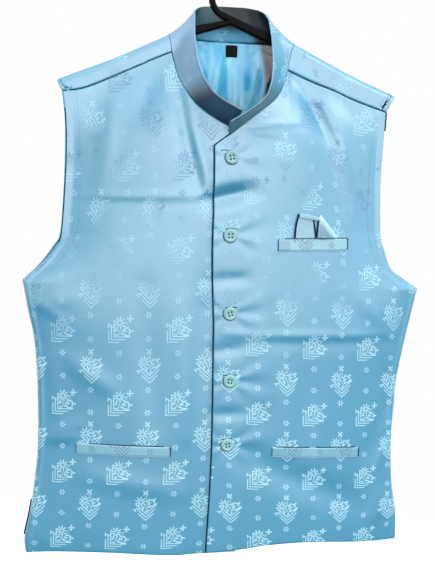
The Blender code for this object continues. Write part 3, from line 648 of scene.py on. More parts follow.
class Tree:
    """A material's node tree with short calls for the nodes that the finishes share."""

    def __init__(self, tree):
        self.tree = tree

    def node(self, kind, **inputs):
        return self.fill(self.tree.nodes.new(kind), **inputs)

    def fill(self, node, **inputs):
        for key, value in inputs.items():
            self.put(node.inputs[key.replace("_", " ")], value)
        return node

    def put(self, socket, value):
        if isinstance(value, bpy.types.NodeSocket):
            self.tree.links.new(value, socket)
        else:
            socket.default_value = value

    def math(self, operation, *values):
        made = self.tree.nodes.new("ShaderNodeMath")
        made.operation = operation
        for socket, value in zip(made.inputs, values):
            self.put(socket, value)
        return made.outputs[0]

    def plus(self, first, second):
        return self.math("ADD", first, second)

    def less(self, first, second):
        return self.math("SUBTRACT", first, second)

    def times(self, first, second):
        return self.math("MULTIPLY", first, second)

    def ramp(self, value, start, end):
        """0 where the value is at its start and 1 where it is at its end, straight between."""
        made = self.node("ShaderNodeMapRange", Value=value)
        made.inputs[1].default_value = start
        made.inputs[2].default_value = end
        return made.outputs[0]

    def inside(self, distance, soft=0.5):
        """1 where the distance is below nought, 0 above, over a soft edge."""
        return self.ramp(distance, soft / 2, -soft / 2)

    def noise(self, place, scale, detail, distortion=0.0):
        made = self.node("ShaderNodeTexNoise", Scale=scale, Detail=detail, Distortion=distortion)
        self.put(made.inputs[0], place)
        return made.outputs[0]

    def stretched(self, place, scales):
        made = self.node("ShaderNodeMapping", Vector=place)
        made.inputs["Scale"].default_value = scales
        return made.outputs[0]

    def coordinates(self, kind):
        """A place and its three parts: of the cloth, the object or the sky."""
        if kind == "cloth":
            source = self.node("ShaderNodeUVMap")
            source.uv_map = "cloth"
            place = source.outputs[0]
        else:
            place = self.node("ShaderNodeTexCoord").outputs[kind]
        parts = self.node("ShaderNodeSeparateXYZ", Vector=place).outputs
        return place, parts[0], parts[1], parts[2]

    def most(self, values):
        result = values[0]
        for value in values[1:]:
            result = self.math("MAXIMUM", result, value)
        return result

    def mix(self, factor, first, second):
        made = self.tree.nodes.new("ShaderNodeMix")
        made.data_type = "RGBA"
        self.put(made.inputs[0], factor)
        self.put(made.inputs[6], opaque(first))
        self.put(made.inputs[7], opaque(second))
        return made.outputs[2]

    def shaded(self, colour, shade):
        """A colour made lighter or deeper by a factor."""
        made = self.node("ShaderNodeMix")
        made.data_type = "RGBA"
        made.blend_type = "MULTIPLY"
        made.inputs[0].default_value = 1.0
        self.put(made.inputs[6], colour)
        grey = self.node("ShaderNodeCombineColor", Red=shade, Green=shade, Blue=shade)
        self.put(made.inputs[7], grey.outputs[0])
        return made.outputs[2]

    def zoned(self, colour, zones):
        for factor, zone_colour in zones:
            colour = self.mix(factor, colour, zone_colour)
        return colour

    def length(self, x, y):
        return self.math("SQRT", self.plus(self.times(x, x), self.times(y, y)))

    def flower(self, x, y, place, radius, petals, hollow):
        """A ring of pointed petals round a small heart."""
        dx = self.less(x, place[0])
        dy = self.less(y, place[1])
        away = self.length(dx, dy)
        turn = self.math("COSINE", self.times(self.math("ARCTAN2", dy, dx), petals))
        reach = self.math("MULTIPLY_ADD", turn, 0.42 * radius, 0.58 * radius)
        ray = self.inside(self.less(away, reach))
        ring = self.inside(self.less(hollow, away))
        return self.times(ray, ring)

    def leaf(self, x, y, start, end, width, taper):
        """A leaf, or with no taper a stem, between two points."""
        run = (end[0] - start[0], end[1] - start[1])
        size = run[0] ** 2 + run[1] ** 2
        dx = self.less(x, start[0])
        dy = self.less(y, start[1])
        dot = self.plus(self.times(dx, run[0] / size), self.times(dy, run[1] / size))
        share = self.math("MINIMUM", self.math("MAXIMUM", dot, 0.0), 1.0)
        away = self.length(
            self.less(dx, self.times(share, run[0])),
            self.less(dy, self.times(share, run[1])))
        hump = self.times(share, self.less(1.0, share))
        reach = self.math("MULTIPLY_ADD", hump, 4 * taper, width)
        return self.inside(self.less(away, reach))


LEAVES = [  # start_x, start_y, end_x, end_y, half width at the ends, extra half width
    (-2, -8, 2.5, 3, 0.35, 0.2),
    (2.5, -5, 9, 6, 0.35, 0.2),
    (9, 6, 13, 12, 0.35, 0.1),
    (1, -4.5, 8, -6.5, 0.2, 1.0),
    (3.5, -1.5, 10.5, -2, 0.2, 1.0),
    (6, -7.5, 15, -8, 0.2, 1.0),
    (7, 1, 13, 3.5, 0.2, 1.0),
    (-7, -2.5, -1, 1, 0.2, 1.0),
    (-6, -7, -1, -6.5, 0.2, 0.8),
    (-4.5, 2, -11, 5, 0.35, 0.1),
]
FLOWERS = [  # x, height, radius, petals, hollow radius
    (0.5, 9.0, 8.8, 9, 1.7),
    (14.8, 14.2, 4.9, 4, 0.0),
    (14.6, -2.0, 4.2, 3, 0.0),
    (-13.8, 5.6, 3.2, 3, 0.0),
]
BRACKET_CORNER = (-15.0, -17.3)
BRACKET_STEP = 3.6
BRACKET_LINE = 1.35
BRACKET_DEEP = 9.0
BRACKET_ARM = (14.5, 1.9)
ROSETTES = [-31.5, 37.0]
ROSETTE_RADIUS = 4.8
DAMASK_PITCH = 0.9
SATIN_PITCH = 0.6
SLUB_SCALES = (1500, 160, 1)
SATIN_CLOUDS = (70, 24, 1)


def motif_group():
    """One motif about the origin: nested brackets, a daisy, buds and leaves."""
    group = bpy.data.node_groups.new("damask_motif", "ShaderNodeTree")
    for name in ("x", "y"):
        group.interface.new_socket(name, in_out="INPUT", socket_type="NodeSocketFloat")
    group.interface.new_socket("figure", in_out="OUTPUT", socket_type="NodeSocketFloat")
    tree = Tree(group)
    entry = group.nodes.new("NodeGroupInput")
    x, y = entry.outputs[0], entry.outputs[1]
    across = tree.less(x, BRACKET_CORNER[0])
    up = tree.less(y, BRACKET_CORNER[1])
    deep = tree.math("MINIMUM", across, up)
    far = tree.math("MAXIMUM", across, up)
    line = tree.less(tree.math("MODULO", deep, BRACKET_STEP), BRACKET_LINE)
    stripes = tree.times(tree.inside(line), tree.inside(tree.times(deep, -1.0)))
    stripes = tree.times(stripes, tree.inside(tree.less(deep, BRACKET_DEEP)))
    limit = tree.math("MULTIPLY_ADD", deep, BRACKET_ARM[1], BRACKET_ARM[0])
    ended = tree.inside(tree.less(far, limit))
    figures = [tree.times(stripes, ended)]
    for place_x, place_y, radius, petals, hollow in FLOWERS:
        figures.append(tree.flower(x, y, (place_x, place_y), radius, petals, hollow))
    for start_x, start_y, end_x, end_y, width, taper in LEAVES:
        figures.append(tree.leaf(x, y, (start_x, start_y), (end_x, end_y), width, taper))
    done = group.nodes.new("NodeGroupOutput")
    group.links.new(tree.most(figures), done.inputs[0])
    return group


def new_material(name):
    made = bpy.data.materials.new(name)
    made.use_nodes = True
    tree = Tree(made.node_tree)
    shader = made.node_tree.nodes["Principled BSDF"]
    return made, tree, shader


def cloth_coordinates(tree):
    """The place on the cloth, and its distances across and up in millimetres."""
    uv, across, up, _ = tree.coordinates("cloth")
    return uv, tree.times(across, 1000.0), tree.times(up, 1000.0)


def weave_bump(tree, shader, uv, x, y, pitch, strength, extra=None):
    """Warp and weft threads as a fine height, with a slower slub along the warp."""
    warp = tree.math("SINE", tree.times(x, 2 * math.pi / pitch))
    weft = tree.math("SINE", tree.times(y, 2 * math.pi / pitch))
    slub = tree.noise(tree.stretched(uv, SLUB_SCALES), 1.0, 3.0)
    height = tree.math("MULTIPLY_ADD", slub, 0.8, tree.times(warp, weft))
    if extra is not None:
        height = tree.math("MULTIPLY_ADD", extra, 1.6, height)
    bump = tree.node("ShaderNodeBump", Strength=strength, Distance=0.0002, Height=height)
    tree.fill(shader, Normal=bump.outputs[0])
    return slub


def damask_figures(tree, x, y):
    """The woven figures: two rows of motifs, the second turned, with rosettes between them."""
    half = (REPEAT[0] / 2, REPEAT[1] / 2)
    figures = []
    for shift, turn in (((0.0, 0.0), 0.0), (half, math.pi / 4)):
        local_x = tree.math("WRAP", tree.less(x, shift[0]), half[0], -half[0])
        local_y = tree.math("WRAP", tree.less(y, shift[1]), half[1], -half[1])
        for height in ROSETTES:
            figures.append(tree.flower(local_x, local_y, (0.0, height), ROSETTE_RADIUS, 6, 1.3))
        c, s = math.cos(turn), math.sin(turn)
        turned_x = tree.plus(tree.times(local_x, c), tree.times(local_y, s))
        turned_y = tree.less(tree.times(local_y, c), tree.times(local_x, s))
        user = tree.node("ShaderNodeGroup")
        user.node_tree = motifs
        tree.put(user.inputs[0], turned_x)
        tree.put(user.inputs[1], turned_y)
        figures.append(user.outputs[0])
    return tree.most(figures)


def damask_material(name, tones, zones=None, index=2.6):
    """Satin ground that takes the light and matt figures woven into it.

    Low on the garment the figures are painted much paler than the ground. Higher up they fade, and
    stand a little paler than the ground in places and a little deeper in others. This tone by height
    is painted light, standing in for the way the satin's reflection changes down the garment.
    """
    ground, low, pale, deep = tones
    made, tree, shader = new_material(name)
    uv, x, y = cloth_coordinates(tree)
    mask = damask_figures(tree, x, y)
    slub = weave_bump(tree, shader, uv, x, y, DAMASK_PITCH, 0.06, mask)
    cloud = tree.noise(uv, 9.0, 2.0)
    shade = tree.plus(tree.plus(tree.times(slub, 0.22), tree.times(cloud, 0.18)), 0.80)
    place = tree.coordinates("Object")[1:]
    # Painted light: the figures' tone and strength are set by height, standing in for the satin's changing
    # reflection.
    high = tree.ramp(place[2], *FIGURES_PAINTED_LIGHT_FADE)
    upper = tree.mix(tree.ramp(tree.noise(uv, 14.0, 0.0), 0.42, 0.56), deep, pale)
    figure = tree.mix(high, low, upper)
    strength = tree.times(mask, tree.math("MULTIPLY_ADD", high, -0.25, 0.92))
    colour = tree.mix(strength, ground, figure)
    colour = tree.zoned(colour, zones(tree, (*place, x)) if zones else [])
    tree.fill(
        shader, Base_Color=tree.shaded(colour, shade), IOR=index, Sheen_Weight=0.04,
        Roughness=tree.math("MULTIPLY_ADD", mask, 0.26, 0.34), Sheen_Roughness=0.4)
    return made


def satin_material(name, colour, glow, index, zones=None):
    """Plain satin with painted highlights: paler in soft noise clouds that stand in for slack folds
    turning to the light.
    """
    made, tree, shader = new_material(name)
    uv, x, y = cloth_coordinates(tree)
    slub = weave_bump(tree, shader, uv, x, y, SATIN_PITCH, 0.012)
    cloud = tree.noise(tree.stretched(uv, SATIN_CLOUDS), 1.0, 1.0, 1.2)
    mixed = tree.mix(tree.ramp(cloud, 0.42, 0.74), colour, glow)
    mixed = tree.zoned(mixed, zones(tree, tree.coordinates("Object")[1:]) if zones else [])
    roughness = tree.math("MULTIPLY_ADD", slub, 0.06, 0.20)
    tree.fill(shader, Base_Color=mixed, Roughness=roughness, IOR=index)
    return made


def grained(tree, shader, height, strength, distance):
    relief = tree.node("ShaderNodeBump", Strength=strength, Distance=distance, Height=height)
    tree.fill(shader, Normal=relief.outputs[0])


def moulded_material(name, colour, roughness, bump, scale, index=1.5):
    """Plastic with a faint moulding texture, fine scuffs and a slightly uneven gloss."""
    made, tree, shader = new_material(name)
    place = tree.coordinates("Object")[0]
    cloud = tree.noise(place, scale, 4.0)
    light = tuple(min(1.0, 1.25 * part + 0.004) for part in colour)
    tree.fill(
        shader, Base_Color=tree.mix(cloud, colour, light), IOR=index,
        Roughness=tree.math("MULTIPLY_ADD", cloud, 0.2, roughness))
    grained(tree, shader, tree.noise(place, scale * 12, 4.0), bump, 0.0003)
    return made


def thread_material(name, colour):
    made, tree, shader = new_material(name)
    ply = tree.noise(tree.coordinates("Object")[0], 2600.0, 2.0)
    dark = tuple(0.6 * part for part in colour)
    tree.fill(shader, Base_Color=tree.mix(ply, dark, colour), Roughness=0.6, IOR=1.25)
    grained(tree, shader, ply, 0.4, 0.0002)
    return made


# Heights in metres between which the low figures' tone gives way to the upper ones': painted light by
# height.
FIGURES_PAINTED_LIGHT_FADE = (-0.56, -0.30)

# Tones of each damask: ground, low figures, and the upper figures where pale and where deep.
BLUE_TONES = [(0.048, 0.338, 0.542), (0.43, 0.80, 0.97), (0.34, 0.72, 0.90), (0.0, 0.18, 0.40)]
WELT_TONES = [(0.17, 0.48, 0.62), (0.05, 0.20, 0.34), (0.03, 0.12, 0.24), (0.01, 0.06, 0.15)]
SQUARE_TONES = [(0.16, 0.42, 0.58), (0.30, 0.60, 0.74), (0.30, 0.60, 0.74), (0.02, 0.15, 0.30)]
COLLAR_LAVENDER = (0.19, 0.33, 0.56)
# Painted shade: navy and teal on the band's outside where it faces down, ink and petrol on its inside and
# beside the lining.
COLLAR_SHADE_NAVY = (0.0, 0.022, 0.070)
COLLAR_SHADE_TEAL = (0.022, 0.135, 0.165)
COLLAR_SHADE_INK = (0.004, 0.010, 0.022)
COLLAR_SHADE_PETROL = (0.010, 0.075, 0.105)


# Zones shade a cloth by place: x, y and height in metres, then the run along the cloth in mm.

def collar_outside_zones(length):
    """Painted shade on the band's outside, by the distance in mm from its end on the wearer's right: navy
    near that end and teal near the other, where the band faces down; a half-strength lavender tone over
    the first 170 to 250 mm.
    """
    def zones(tree, place):
        navy = tree.ramp(place[3], 92.0, 66.0)
        lavender = tree.times(tree.ramp(place[3], 250.0, 170.0), 0.50)
        teal = tree.ramp(place[3], length - 112.0, length - 84.0)
        return [(lavender, COLLAR_LAVENDER), (navy, COLLAR_SHADE_NAVY), (teal, COLLAR_SHADE_TEAL)]
    return zones


def collar_inside_zones(tree, place):
    """Painted shade on the band's inside: deep along the top of the back and round the left, a little less
    round the right, in ink towards the wearer's left and petrol towards the right.
    """
    top = tree.times(tree.ramp(place[2], -0.096, -0.086), tree.ramp(place[1], -0.004, 0.004))
    round_left = tree.ramp(place[0], 0.028, 0.036)
    round_right = tree.times(tree.ramp(place[0], -0.040, -0.050), 0.8)
    ink = tree.ramp(place[0], -0.022, -0.008)
    deep = tree.mix(ink, COLLAR_SHADE_PETROL, COLLAR_SHADE_INK)
    return [(tree.most([top, round_left, round_right]), deep)]


def neck_painted_shade_zones(tree, place):
    """Painted shade: the lining turns ink along the left of the neck, beside the inside of the band."""
    slant = tree.math("MULTIPLY_ADD", place[2], 0.16, place[0])
    beside = tree.ramp(slant, 0.0195, 0.0245)
    in_neck = tree.ramp(place[2], -0.235, -0.205)
    return [(tree.times(beside, in_neck), COLLAR_SHADE_INK)]


def square_zones(tree, place):
    """Painted shade and highlight on the pointed part of the square: deep all over it beside the fold, and
    a painted highlight along its long edge.
    """
    slant = tree.plus(tree.times(place[0], 0.72), tree.times(place[2], 0.69))
    pointed = tree.ramp(place[0], 0.1139, 0.1145)
    edge = tree.times(pointed, tree.ramp(slant, -0.1475, -0.1400))
    return [(pointed, (0.015, 0.20, 0.31)), (edge, (0.42, 0.76, 0.84))]


def welt_zones(tree, place):
    """The end of the chest welt towards the buttons lies in shade."""
    chest = tree.ramp(place[2], -0.40, -0.39)
    shaded = tree.times(chest, tree.ramp(place[0], 0.080, 0.076))
    return [(tree.times(shaded, 0.75), (0.07, 0.30, 0.46))]


motifs = motif_group()
DAMASK = damask_material("damask", BLUE_TONES)
WELT_DAMASK = damask_material("welt_damask", WELT_TONES, welt_zones)
SQUARE_DAMASK = damask_material("square_damask", SQUARE_TONES, square_zones)
SATIN = satin_material("lining_satin", (0.03, 0.50, 0.88), (0.20, 0.74, 0.98), 1.9, neck_painted_shade_zones)
# Painted shade: the fronts' inner faces in near-black navy, so the insides seen at the armholes and the
# front edge read as shade.
FRONT_INSIDE_SHADE = satin_material("front_inside_painted_shade", (0.006, 0.022, 0.060), (0.012, 0.04, 0.09), 1.4)
RIBBON = thread_material("label_ribbon", (0.002, 0.002, 0.003))
BUTTON = moulded_material("button_plastic", (0.25, 0.49, 0.49), 0.22, 0.1, 180.0)
HANGER = moulded_material("hanger_plastic", (0.001, 0.001, 0.0012), 0.30, 0.12, 90.0, 1.16)
WELT_THREAD_AND_HIGHLIGHT = thread_material("welt_thread_and_painted_highlight", (0.42, 0.68, 0.82))
EDGE_THREAD = thread_material("edge_thread", (0.12, 0.38, 0.56))
# Dark thread for the seams, also used as painted shade for the cords in shade and the walls of the
# buttons' holes.
DARK_THREAD_AND_SHADE = thread_material("dark_thread_and_painted_shade", (0.006, 0.020, 0.055))


# Pieces.

def settle(piece, node):
    """Rides the piece on the one body and hides the solid it stands for."""
    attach(piece, "root")
    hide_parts(node)


def make_fronts():
    grids = {}
    for side in SIDES:
        points = front_grid(side)
        grids[side] = points
        name = "front_%s_cloth" % side
        piece = cloth(name, [(points, lattice_uv(side, points))], CLOTH_WALL, DAMASK, FRONT_INSIDE_SHADE, (0, -1, 0))
        settle(piece, "front_" + side)
    return grids


def make_back():
    body, steps = back_body()
    body_uv = plain_uv(body)
    count = LIP_COLUMNS + SHOULDER_COLUMNS + 1
    strips = {}
    pieces = [(body, body_uv)]
    for side, order in (("right", 1), ("left", -1)):
        top = body[-1][::order][:count]
        top_uv = body_uv[-1][::order][:count]
        strips[side] = shoulder_strip(side, top)
        points = np.concatenate([top[None], strips[side]])
        across = np.repeat(top_uv[None, :, 0], len(points), axis=0)
        pieces.append((points, np.stack([across, top_uv[None, :, 1] + climbed(points)], axis=-1)))
    piece = cloth("back_cloth", pieces, CLOTH_WALL, DAMASK, SATIN, (0, 1, 0))
    settle(piece, "back")
    return body, steps, strips


def neck_seam(grids, body, strips):
    """The neck edge of the panels, from the right end of the collar round to the left end."""
    steps = row_steps()
    chosen = steps >= LAP_STEP
    right = grids["right"][chosen][:, -1]
    left = grids["left"][chosen][:, -1]
    first = LIP_COLUMNS + SHOULDER_COLUMNS
    back = body[-1][first:first + NECK_COLUMNS + 1]
    over_right = strips["right"][:, -1][::-1][1:]
    over_left = strips["left"][:, -1][:-1]
    return np.vstack([right, over_right, back, over_left, left[::-1]])


def make_collar(seam):
    """A stiff band that stands on the neck edge, its top edge rolled over."""
    gaps = np.linalg.norm(np.diff(seam, axis=0), axis=1)
    travelled = np.concatenate([[0], np.cumsum(gaps)])
    stations = np.array(COLLAR_TOP, float)
    marks = [travelled[np.argmin(np.linalg.norm(seam - row[:3], axis=1))] for row in stations]
    wanted = np.linspace(0, travelled[-1], COLLAR_COLUMNS)
    foot = np.column_stack([np.interp(wanted, travelled, seam[:, axis]) for axis in range(3)])
    top = np.column_stack([np.interp(wanted, marks, stations[:, 3 + axis]) for axis in range(3)])
    for axis in range(3):
        top[:, axis] = softened(top[:, axis], 5)
        foot[:, axis] = softened(foot[:, axis], 2)
    lift = top - foot
    height = np.linalg.norm(lift, axis=1)[:, None]
    lift /= height
    run = np.gradient(foot, axis=0)
    out = np.cross(run, lift)
    out /= np.linalg.norm(out, axis=1)[:, None]
    start = foot + lift * 3 * SEAM_GAP
    shares = np.concatenate([np.linspace(0, 0.95, 18), [0.97, 0.985, 1.0]])
    rows = []
    for share in shares:
        crown = COLLAR_CROWN * math.sin(math.pi * share)
        edge = turned_edge((1 - share) * COLLAR_HEIGHT) + turned_edge(share * COLLAR_HEIGHT)
        rows.append(start + (top - start) * share + out * (crown - edge))
    points = np.array(rows).transpose(1, 0, 2)
    uvs = np.stack(np.broadcast_arrays(wanted[:, None], shares[None, :] * height), axis=-1)
    outside = damask_material("collar_damask", BLUE_TONES, collar_outside_zones(float(wanted[-1])))
    inside = damask_material("collar_inside", BLUE_TONES, collar_inside_zones, 1.5)
    piece = cloth("collar_band", [(points, uvs)], COLLAR_WALL, outside, inside, (0, 0, -1))
    settle(piece, "collar")


def softened(values, passes):
    for _ in range(passes):
        middle = 0.25 * values[:-2] + 0.5 * values[1:-1] + 0.25 * values[2:]
        values = np.concatenate([values[:1], middle, values[-1:]])
    return values


def make_lining(body, steps):
    """The satin back lining, slack between its seams, with soft folds down from the neck."""
    inner = body[:, LIP_COLUMNS:-LIP_COLUMNS]
    share = (steps / TOP_STEP)[:, None]
    inset = 1 - LINING_SIDE_INSET / np.abs(inner[:, :1, 0])
    x = inner[..., 0]
    start = smoothstep((np.abs(x) - LINING_DROP_STARTS) / NECK_HALF)
    z = inner[..., 2] + LINING_HEM_RISE * (1 - share) ** 4 - LINING_SHOULDER_DROP * start * share ** 4
    reach = back_y(x * inset, z, BACK_FOLDS) - CLOTH_WALL
    clear = LAYER_GAP * (1 + 3 * np.minimum(np.abs(x) / NECK_HALF, 1)) + LINING_SLACK * (1 - share ** 9)
    label_middle = 0.5 * (LABEL_X[0] + LABEL_X[1])
    beside_label = 1 - np.exp(-((x - label_middle) / LINING_HELD_BY_LABEL) ** 2)
    slack = beside_label * np.minimum(1, (1 - share) * 12)
    waves = 1.6 + np.sin(x / 7.0 + z / 45 + 0.8 * np.sin(z / 23)) + 0.6 * np.sin(x / 3.9 - z / 26)
    tuck = np.exp(-((z - LINING_TUCK_HEIGHT) / LINING_TUCK_WIDTH) ** 2)
    folds = (LINING_FOLD * waves + LINING_TUCK * tuck) * slack
    points = np.stack([x * inset, reach - clear - folds, z], axis=-1)
    piece = cloth("lining_cloth", [(points, plain_uv(points))], LINING_WALL, SATIN, SATIN, (0, 1, 0))
    settle(piece, "back_lining")


def make_label():
    drops = np.linspace(LABEL_DROP, 0, 12)[:, None]
    x = np.linspace(*LABEL_X, 14)[None, :] + 0 * drops
    z = LABEL_TOP - drops + 0 * x
    y = back_y(x, z, BACK_FOLDS) - LABEL_INSIDE
    points = np.stack([x, y, z], axis=-1)
    piece = cloth("neck_label_ribbon", [(points, plain_uv(points))], LABEL_WALL, RIBBON, RIBBON, (0, 1, 0))
    settle(piece, "neck_label")


def make_welt(name, size):
    """A welt strip on its front, its lower edge and both ends turned under."""
    rise = np.linspace(0, size["height"], 22)[:, None]
    share = np.linspace(0, 1, 120)[None, :]
    x = size["x"][0] + share * (size["x"][1] - size["x"][0]) + 0 * rise
    z = size["z"][0] + share * (size["z"][1] - size["z"][0]) + rise
    y = front_y(x, z, size["front"]) - LAYER_GAP - WELT_WALL
    ends = np.minimum(x - size["x"][0], size["x"][1] - x)
    y = y + turned_edge(rise) + turned_edge(size["height"] - rise) + turned_edge(ends)
    points = np.stack([x, y, z], axis=-1)
    strip = (points, plain_uv(points, WELT_CUT))
    piece = cloth(name + "_cloth", [strip], WELT_WALL, WELT_DAMASK, WELT_DAMASK, (0, -1, 0))
    settle(piece, name)


def surface_normal(x, z):
    step = BUTTON_SLOPE_STEP
    across = Vector((2 * step, float(front_y(x + step, z) - front_y(x - step, z)), 0))
    upward = Vector((0, float(front_y(x, z + step) - front_y(x, z - step)), 2 * step))
    return across.cross(upward).normalized()


def hole_places(number):
    """Where the four holes of a button stand about its middle, across and up."""
    angles = [math.pi / 4 + quarter * math.pi / 2 + BUTTON_TURNS[number - 1] for quarter in range(4)]
    return [(BUTTON_HOLE_OFFSET * math.cos(a), BUTTON_HOLE_OFFSET * math.sin(a)) for a in angles]


def make_button(number, x, z):
    """A turned four-hole button with a raised rim."""
    name = "button_%d_disc" % number
    work = bmesh.new()
    profile = [work.verts.new((radius * MM, 0, height * MM)) for radius, height in BUTTON_PROFILE]
    edges = [work.edges.new(pair) for pair in zip(profile, profile[1:])]
    bmesh.ops.spin(
        work, geom=profile + edges, cent=(0, 0, 0), axis=(0, 0, 1), angle=2 * math.pi,
        steps=BUTTON_SEGMENTS, use_merge=True)
    bmesh.ops.remove_doubles(work, verts=work.verts, dist=0.00001)
    bmesh.ops.recalc_face_normals(work, faces=work.faces)
    piece = finished(name, work, BUTTON)
    piece.data.shade_smooth()
    drill_work = bmesh.new()
    for across, up in hole_places(number):
        place = Matrix.Translation(Vector((across, up, DRILL_HEIGHT)) * MM)
        bmesh.ops.create_cone(
            drill_work, cap_ends=True, segments=18, radius1=BUTTON_HOLE_RADIUS * MM,
            radius2=BUTTON_HOLE_RADIUS * MM, depth=DRILL_LENGTH * MM, matrix=place)
    drill = finished(name + "_drill", drill_work)
    holes = piece.modifiers.new("holes", "BOOLEAN")
    holes.operation = "DIFFERENCE"
    holes.solver = "EXACT"
    holes.object = drill
    cut = bpy.data.meshes.new_from_object(piece.evaluated_get(bpy.context.evaluated_depsgraph_get()))
    piece.modifiers.clear()
    piece.data = cut
    # Painted shade: the walls of the holes take the dark thread finish so that the holes read dark.
    cut.materials.append(DARK_THREAD_AND_SHADE)
    for face in cut.polygons:
        away = math.hypot(face.center.x, face.center.y)
        near_hole = abs(away - BUTTON_HOLE_OFFSET * MM) < 1.05 * BUTTON_HOLE_RADIUS * MM
        if near_hole and abs(face.normal.z) < 0.3:
            face.material_index = 1
    bpy.data.objects.remove(drill, do_unlink=True)
    normal = surface_normal(x, z)
    seat = Vector((x, float(front_y(x, z)), z)) + normal * BUTTON_SEAT
    turned = normal.to_track_quat("Z", "Y").to_matrix().to_4x4()
    piece.matrix_world = Matrix.Translation(seat * MM) @ turned
    settle(piece, "button_%d" % number)


def make_square():
    """The pocket square: a flat folded part with a flap, and a pointed part beside it."""
    rows = np.linspace(0, 1, 26)[:, None]
    columns = np.linspace(0, 1, 30)[None, :]
    low_x = SQUARE_FOLD["x"][0] + columns * (SQUARE_FOLD["x"][1] - SQUARE_FOLD["x"][0])
    top_x = SQUARE_FOLD["top_x"][0] + columns * (SQUARE_FOLD["top_x"][1] - SQUARE_FOLD["top_x"][0])
    x = low_x + rows * (top_x - low_x)
    z = SQUARE_FOLD["z"][0] + rows * (SQUARE_FOLD["z"][1] - SQUARE_FOLD["z"][0]) + 0 * x
    y = front_y(x, z) - LAYER_GAP - SQUARE_WALL
    edges = np.minimum(columns, 1 - columns) * SQUARE_SIZE[0]
    y = y + turned_edge(edges) + turned_edge((1 - rows) * SQUARE_SIZE[1])
    first = np.stack([x, y, z], axis=-1)
    (left_x, low_z), (peak_x, peak_z), (right_x, _) = SQUARE_POINT
    low_x = left_x + columns * (right_x - left_x)
    x = low_x + rows * (peak_x + 0.6 * (columns - 0.5) - low_x)
    z = low_z + rows * (peak_z - low_z) + 0 * x
    ridge = np.exp(-((columns - SQUARE_RIDGE["column"]) / SQUARE_RIDGE["width"]) ** 2) * (1 - rows)
    y = front_y(x, z) - LAYER_GAP - SQUARE_WALL - SQUARE_RIDGE["height"] * ridge
    second = np.stack([x, y + turned_edge(edges * (1 - rows)), z], axis=-1)
    corners = np.array(SQUARE_FLAP)
    low_edge = corners[0] + columns[0][:, None] * (corners[2] - corners[0])
    top_edge = corners[1] + columns[0][:, None] * (corners[3] - corners[1])
    shares = np.linspace(0, 1, 10)[:, None, None]
    flat = low_edge + shares * (top_edge - low_edge)
    y = front_y(flat[..., 0], flat[..., 1]) - LAYER_GAP - 2 * SQUARE_WALL - SQUARE_FLAP_LIFT
    y = y + turned_edge((1 - shares[..., 0]) * SQUARE_FLAP_WIDTH)
    flap = np.stack([flat[..., 0], y, flat[..., 1]], axis=-1)
    grids = [(part, plain_uv(part, cut)) for part, cut in zip((first, second, flap), SQUARE_CUTS)]
    piece = cloth("pocket_square_cloth", grids, SQUARE_WALL, SQUARE_DAMASK, SQUARE_DAMASK, (0, -1, 0))
    settle(piece, "pocket_square")


# Threads: each path is a list of points in mm, swept as a thin round cord.

THREAD_SIDES = 6
ACROSS_THREADS = (0.31, 0.87, 0.38)  # a slant direction that no thread runs along
SHOULDER_THREAD = {"shift": (0.0, -0.1, 0.5), "radius": 0.4}
NECK_THREAD = {"shift": (0.0, -2.6, 0.2), "radius": 0.45}
SLIT_RADIUS = 0.5
MOUTH_SHADE_RADIUS = 0.45
WELT_END_RADII = (0.35, 0.7)
SQUARE_SHADE_RADIUS = 1.05
# Painted shadow: a dark arc round each button's lower left; its turns in degrees, reach, lift and radius.
BUTTON_SHADE = {"turns": (150, 315), "reach": 9.0, "lift": 0.35, "radius": 0.75}
HOLE_DARK = {"heights": (-1.0, 0.2, 0.8, 1.4), "radius": 0.95}
WELT_STITCH_RADIUS = 0.5
EDGE_STITCH_RADIUS = 0.16
STITCHED_COLUMN = 14
# Painted shade: dark cords in the gaps inside the armholes and at the foot of the right side seam.
SIDE_GAP_SHADES = [  # edges, side, lowest, highest, distance inside the outline, y, radius
    (ARMHOLE, "right", -368, -196, -0.6, -7.6, 0.75),
    (ARMHOLE, "left", -214, -188, -0.9, -7.0, 1.5),
    (SIDE_SEAM, "right", -781, -722, -0.2, -1.5, 1.5),
]
EDGE_SHADOW_SHIFT = (-0.5, 1.2, 0.0)
EDGE_SHADOW_RADIUS = 0.95
BUTTONHOLES = [  # start and end about the button's middle, rise above it
    (-14.5, -4.5, 8.6), (-7.0, 9.5, 9.0), (-7.0, 9.0, 8.4), (-9.0, 8.0, 8.4), (-9.0, 8.0, 8.4)]
# Painted shade: dark cords along the top of each welt, in the shade of the pocket's opening.
WELT_MOUTH_SHADES = {
    "welt_chest": [(70, 84), (144, 159)],
    "welt_hip_right": [(-178, -80)],
    "welt_hip_left": [(72, 120), (130, 190)],
}


def tube_mesh(name, paths, material):
    """One piece made of several cords, each with its own radius."""
    work = bmesh.new()
    for points, radius in paths:
        points = np.array(points, float)
        run = np.gradient(points, axis=0)
        run /= np.linalg.norm(run, axis=1)[:, None]
        side = np.cross(run, ACROSS_THREADS)
        side /= np.linalg.norm(side, axis=1)[:, None]
        up = np.cross(run, side)
        rings = []
        for centre, across, over in zip(points, side, up):
            ring = []
            for spoke in range(THREAD_SIDES):
                angle = 2 * math.pi * spoke / THREAD_SIDES
                place = centre + radius * (math.cos(angle) * across + math.sin(angle) * over)
                ring.append(work.verts.new(place * MM))
            rings.append(ring)
        for first, second in zip(rings, rings[1:]):
            for spoke in range(THREAD_SIDES):
                after = (spoke + 1) % THREAD_SIDES
                work.faces.new((first[spoke], first[after], second[after], second[spoke]))
        work.faces.new(rings[0][::-1])
        work.faces.new(rings[-1])
    bmesh.ops.recalc_face_normals(work, faces=work.faces)
    piece = finished(name, work, material)
    piece.data.shade_smooth()
    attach(piece, "root")


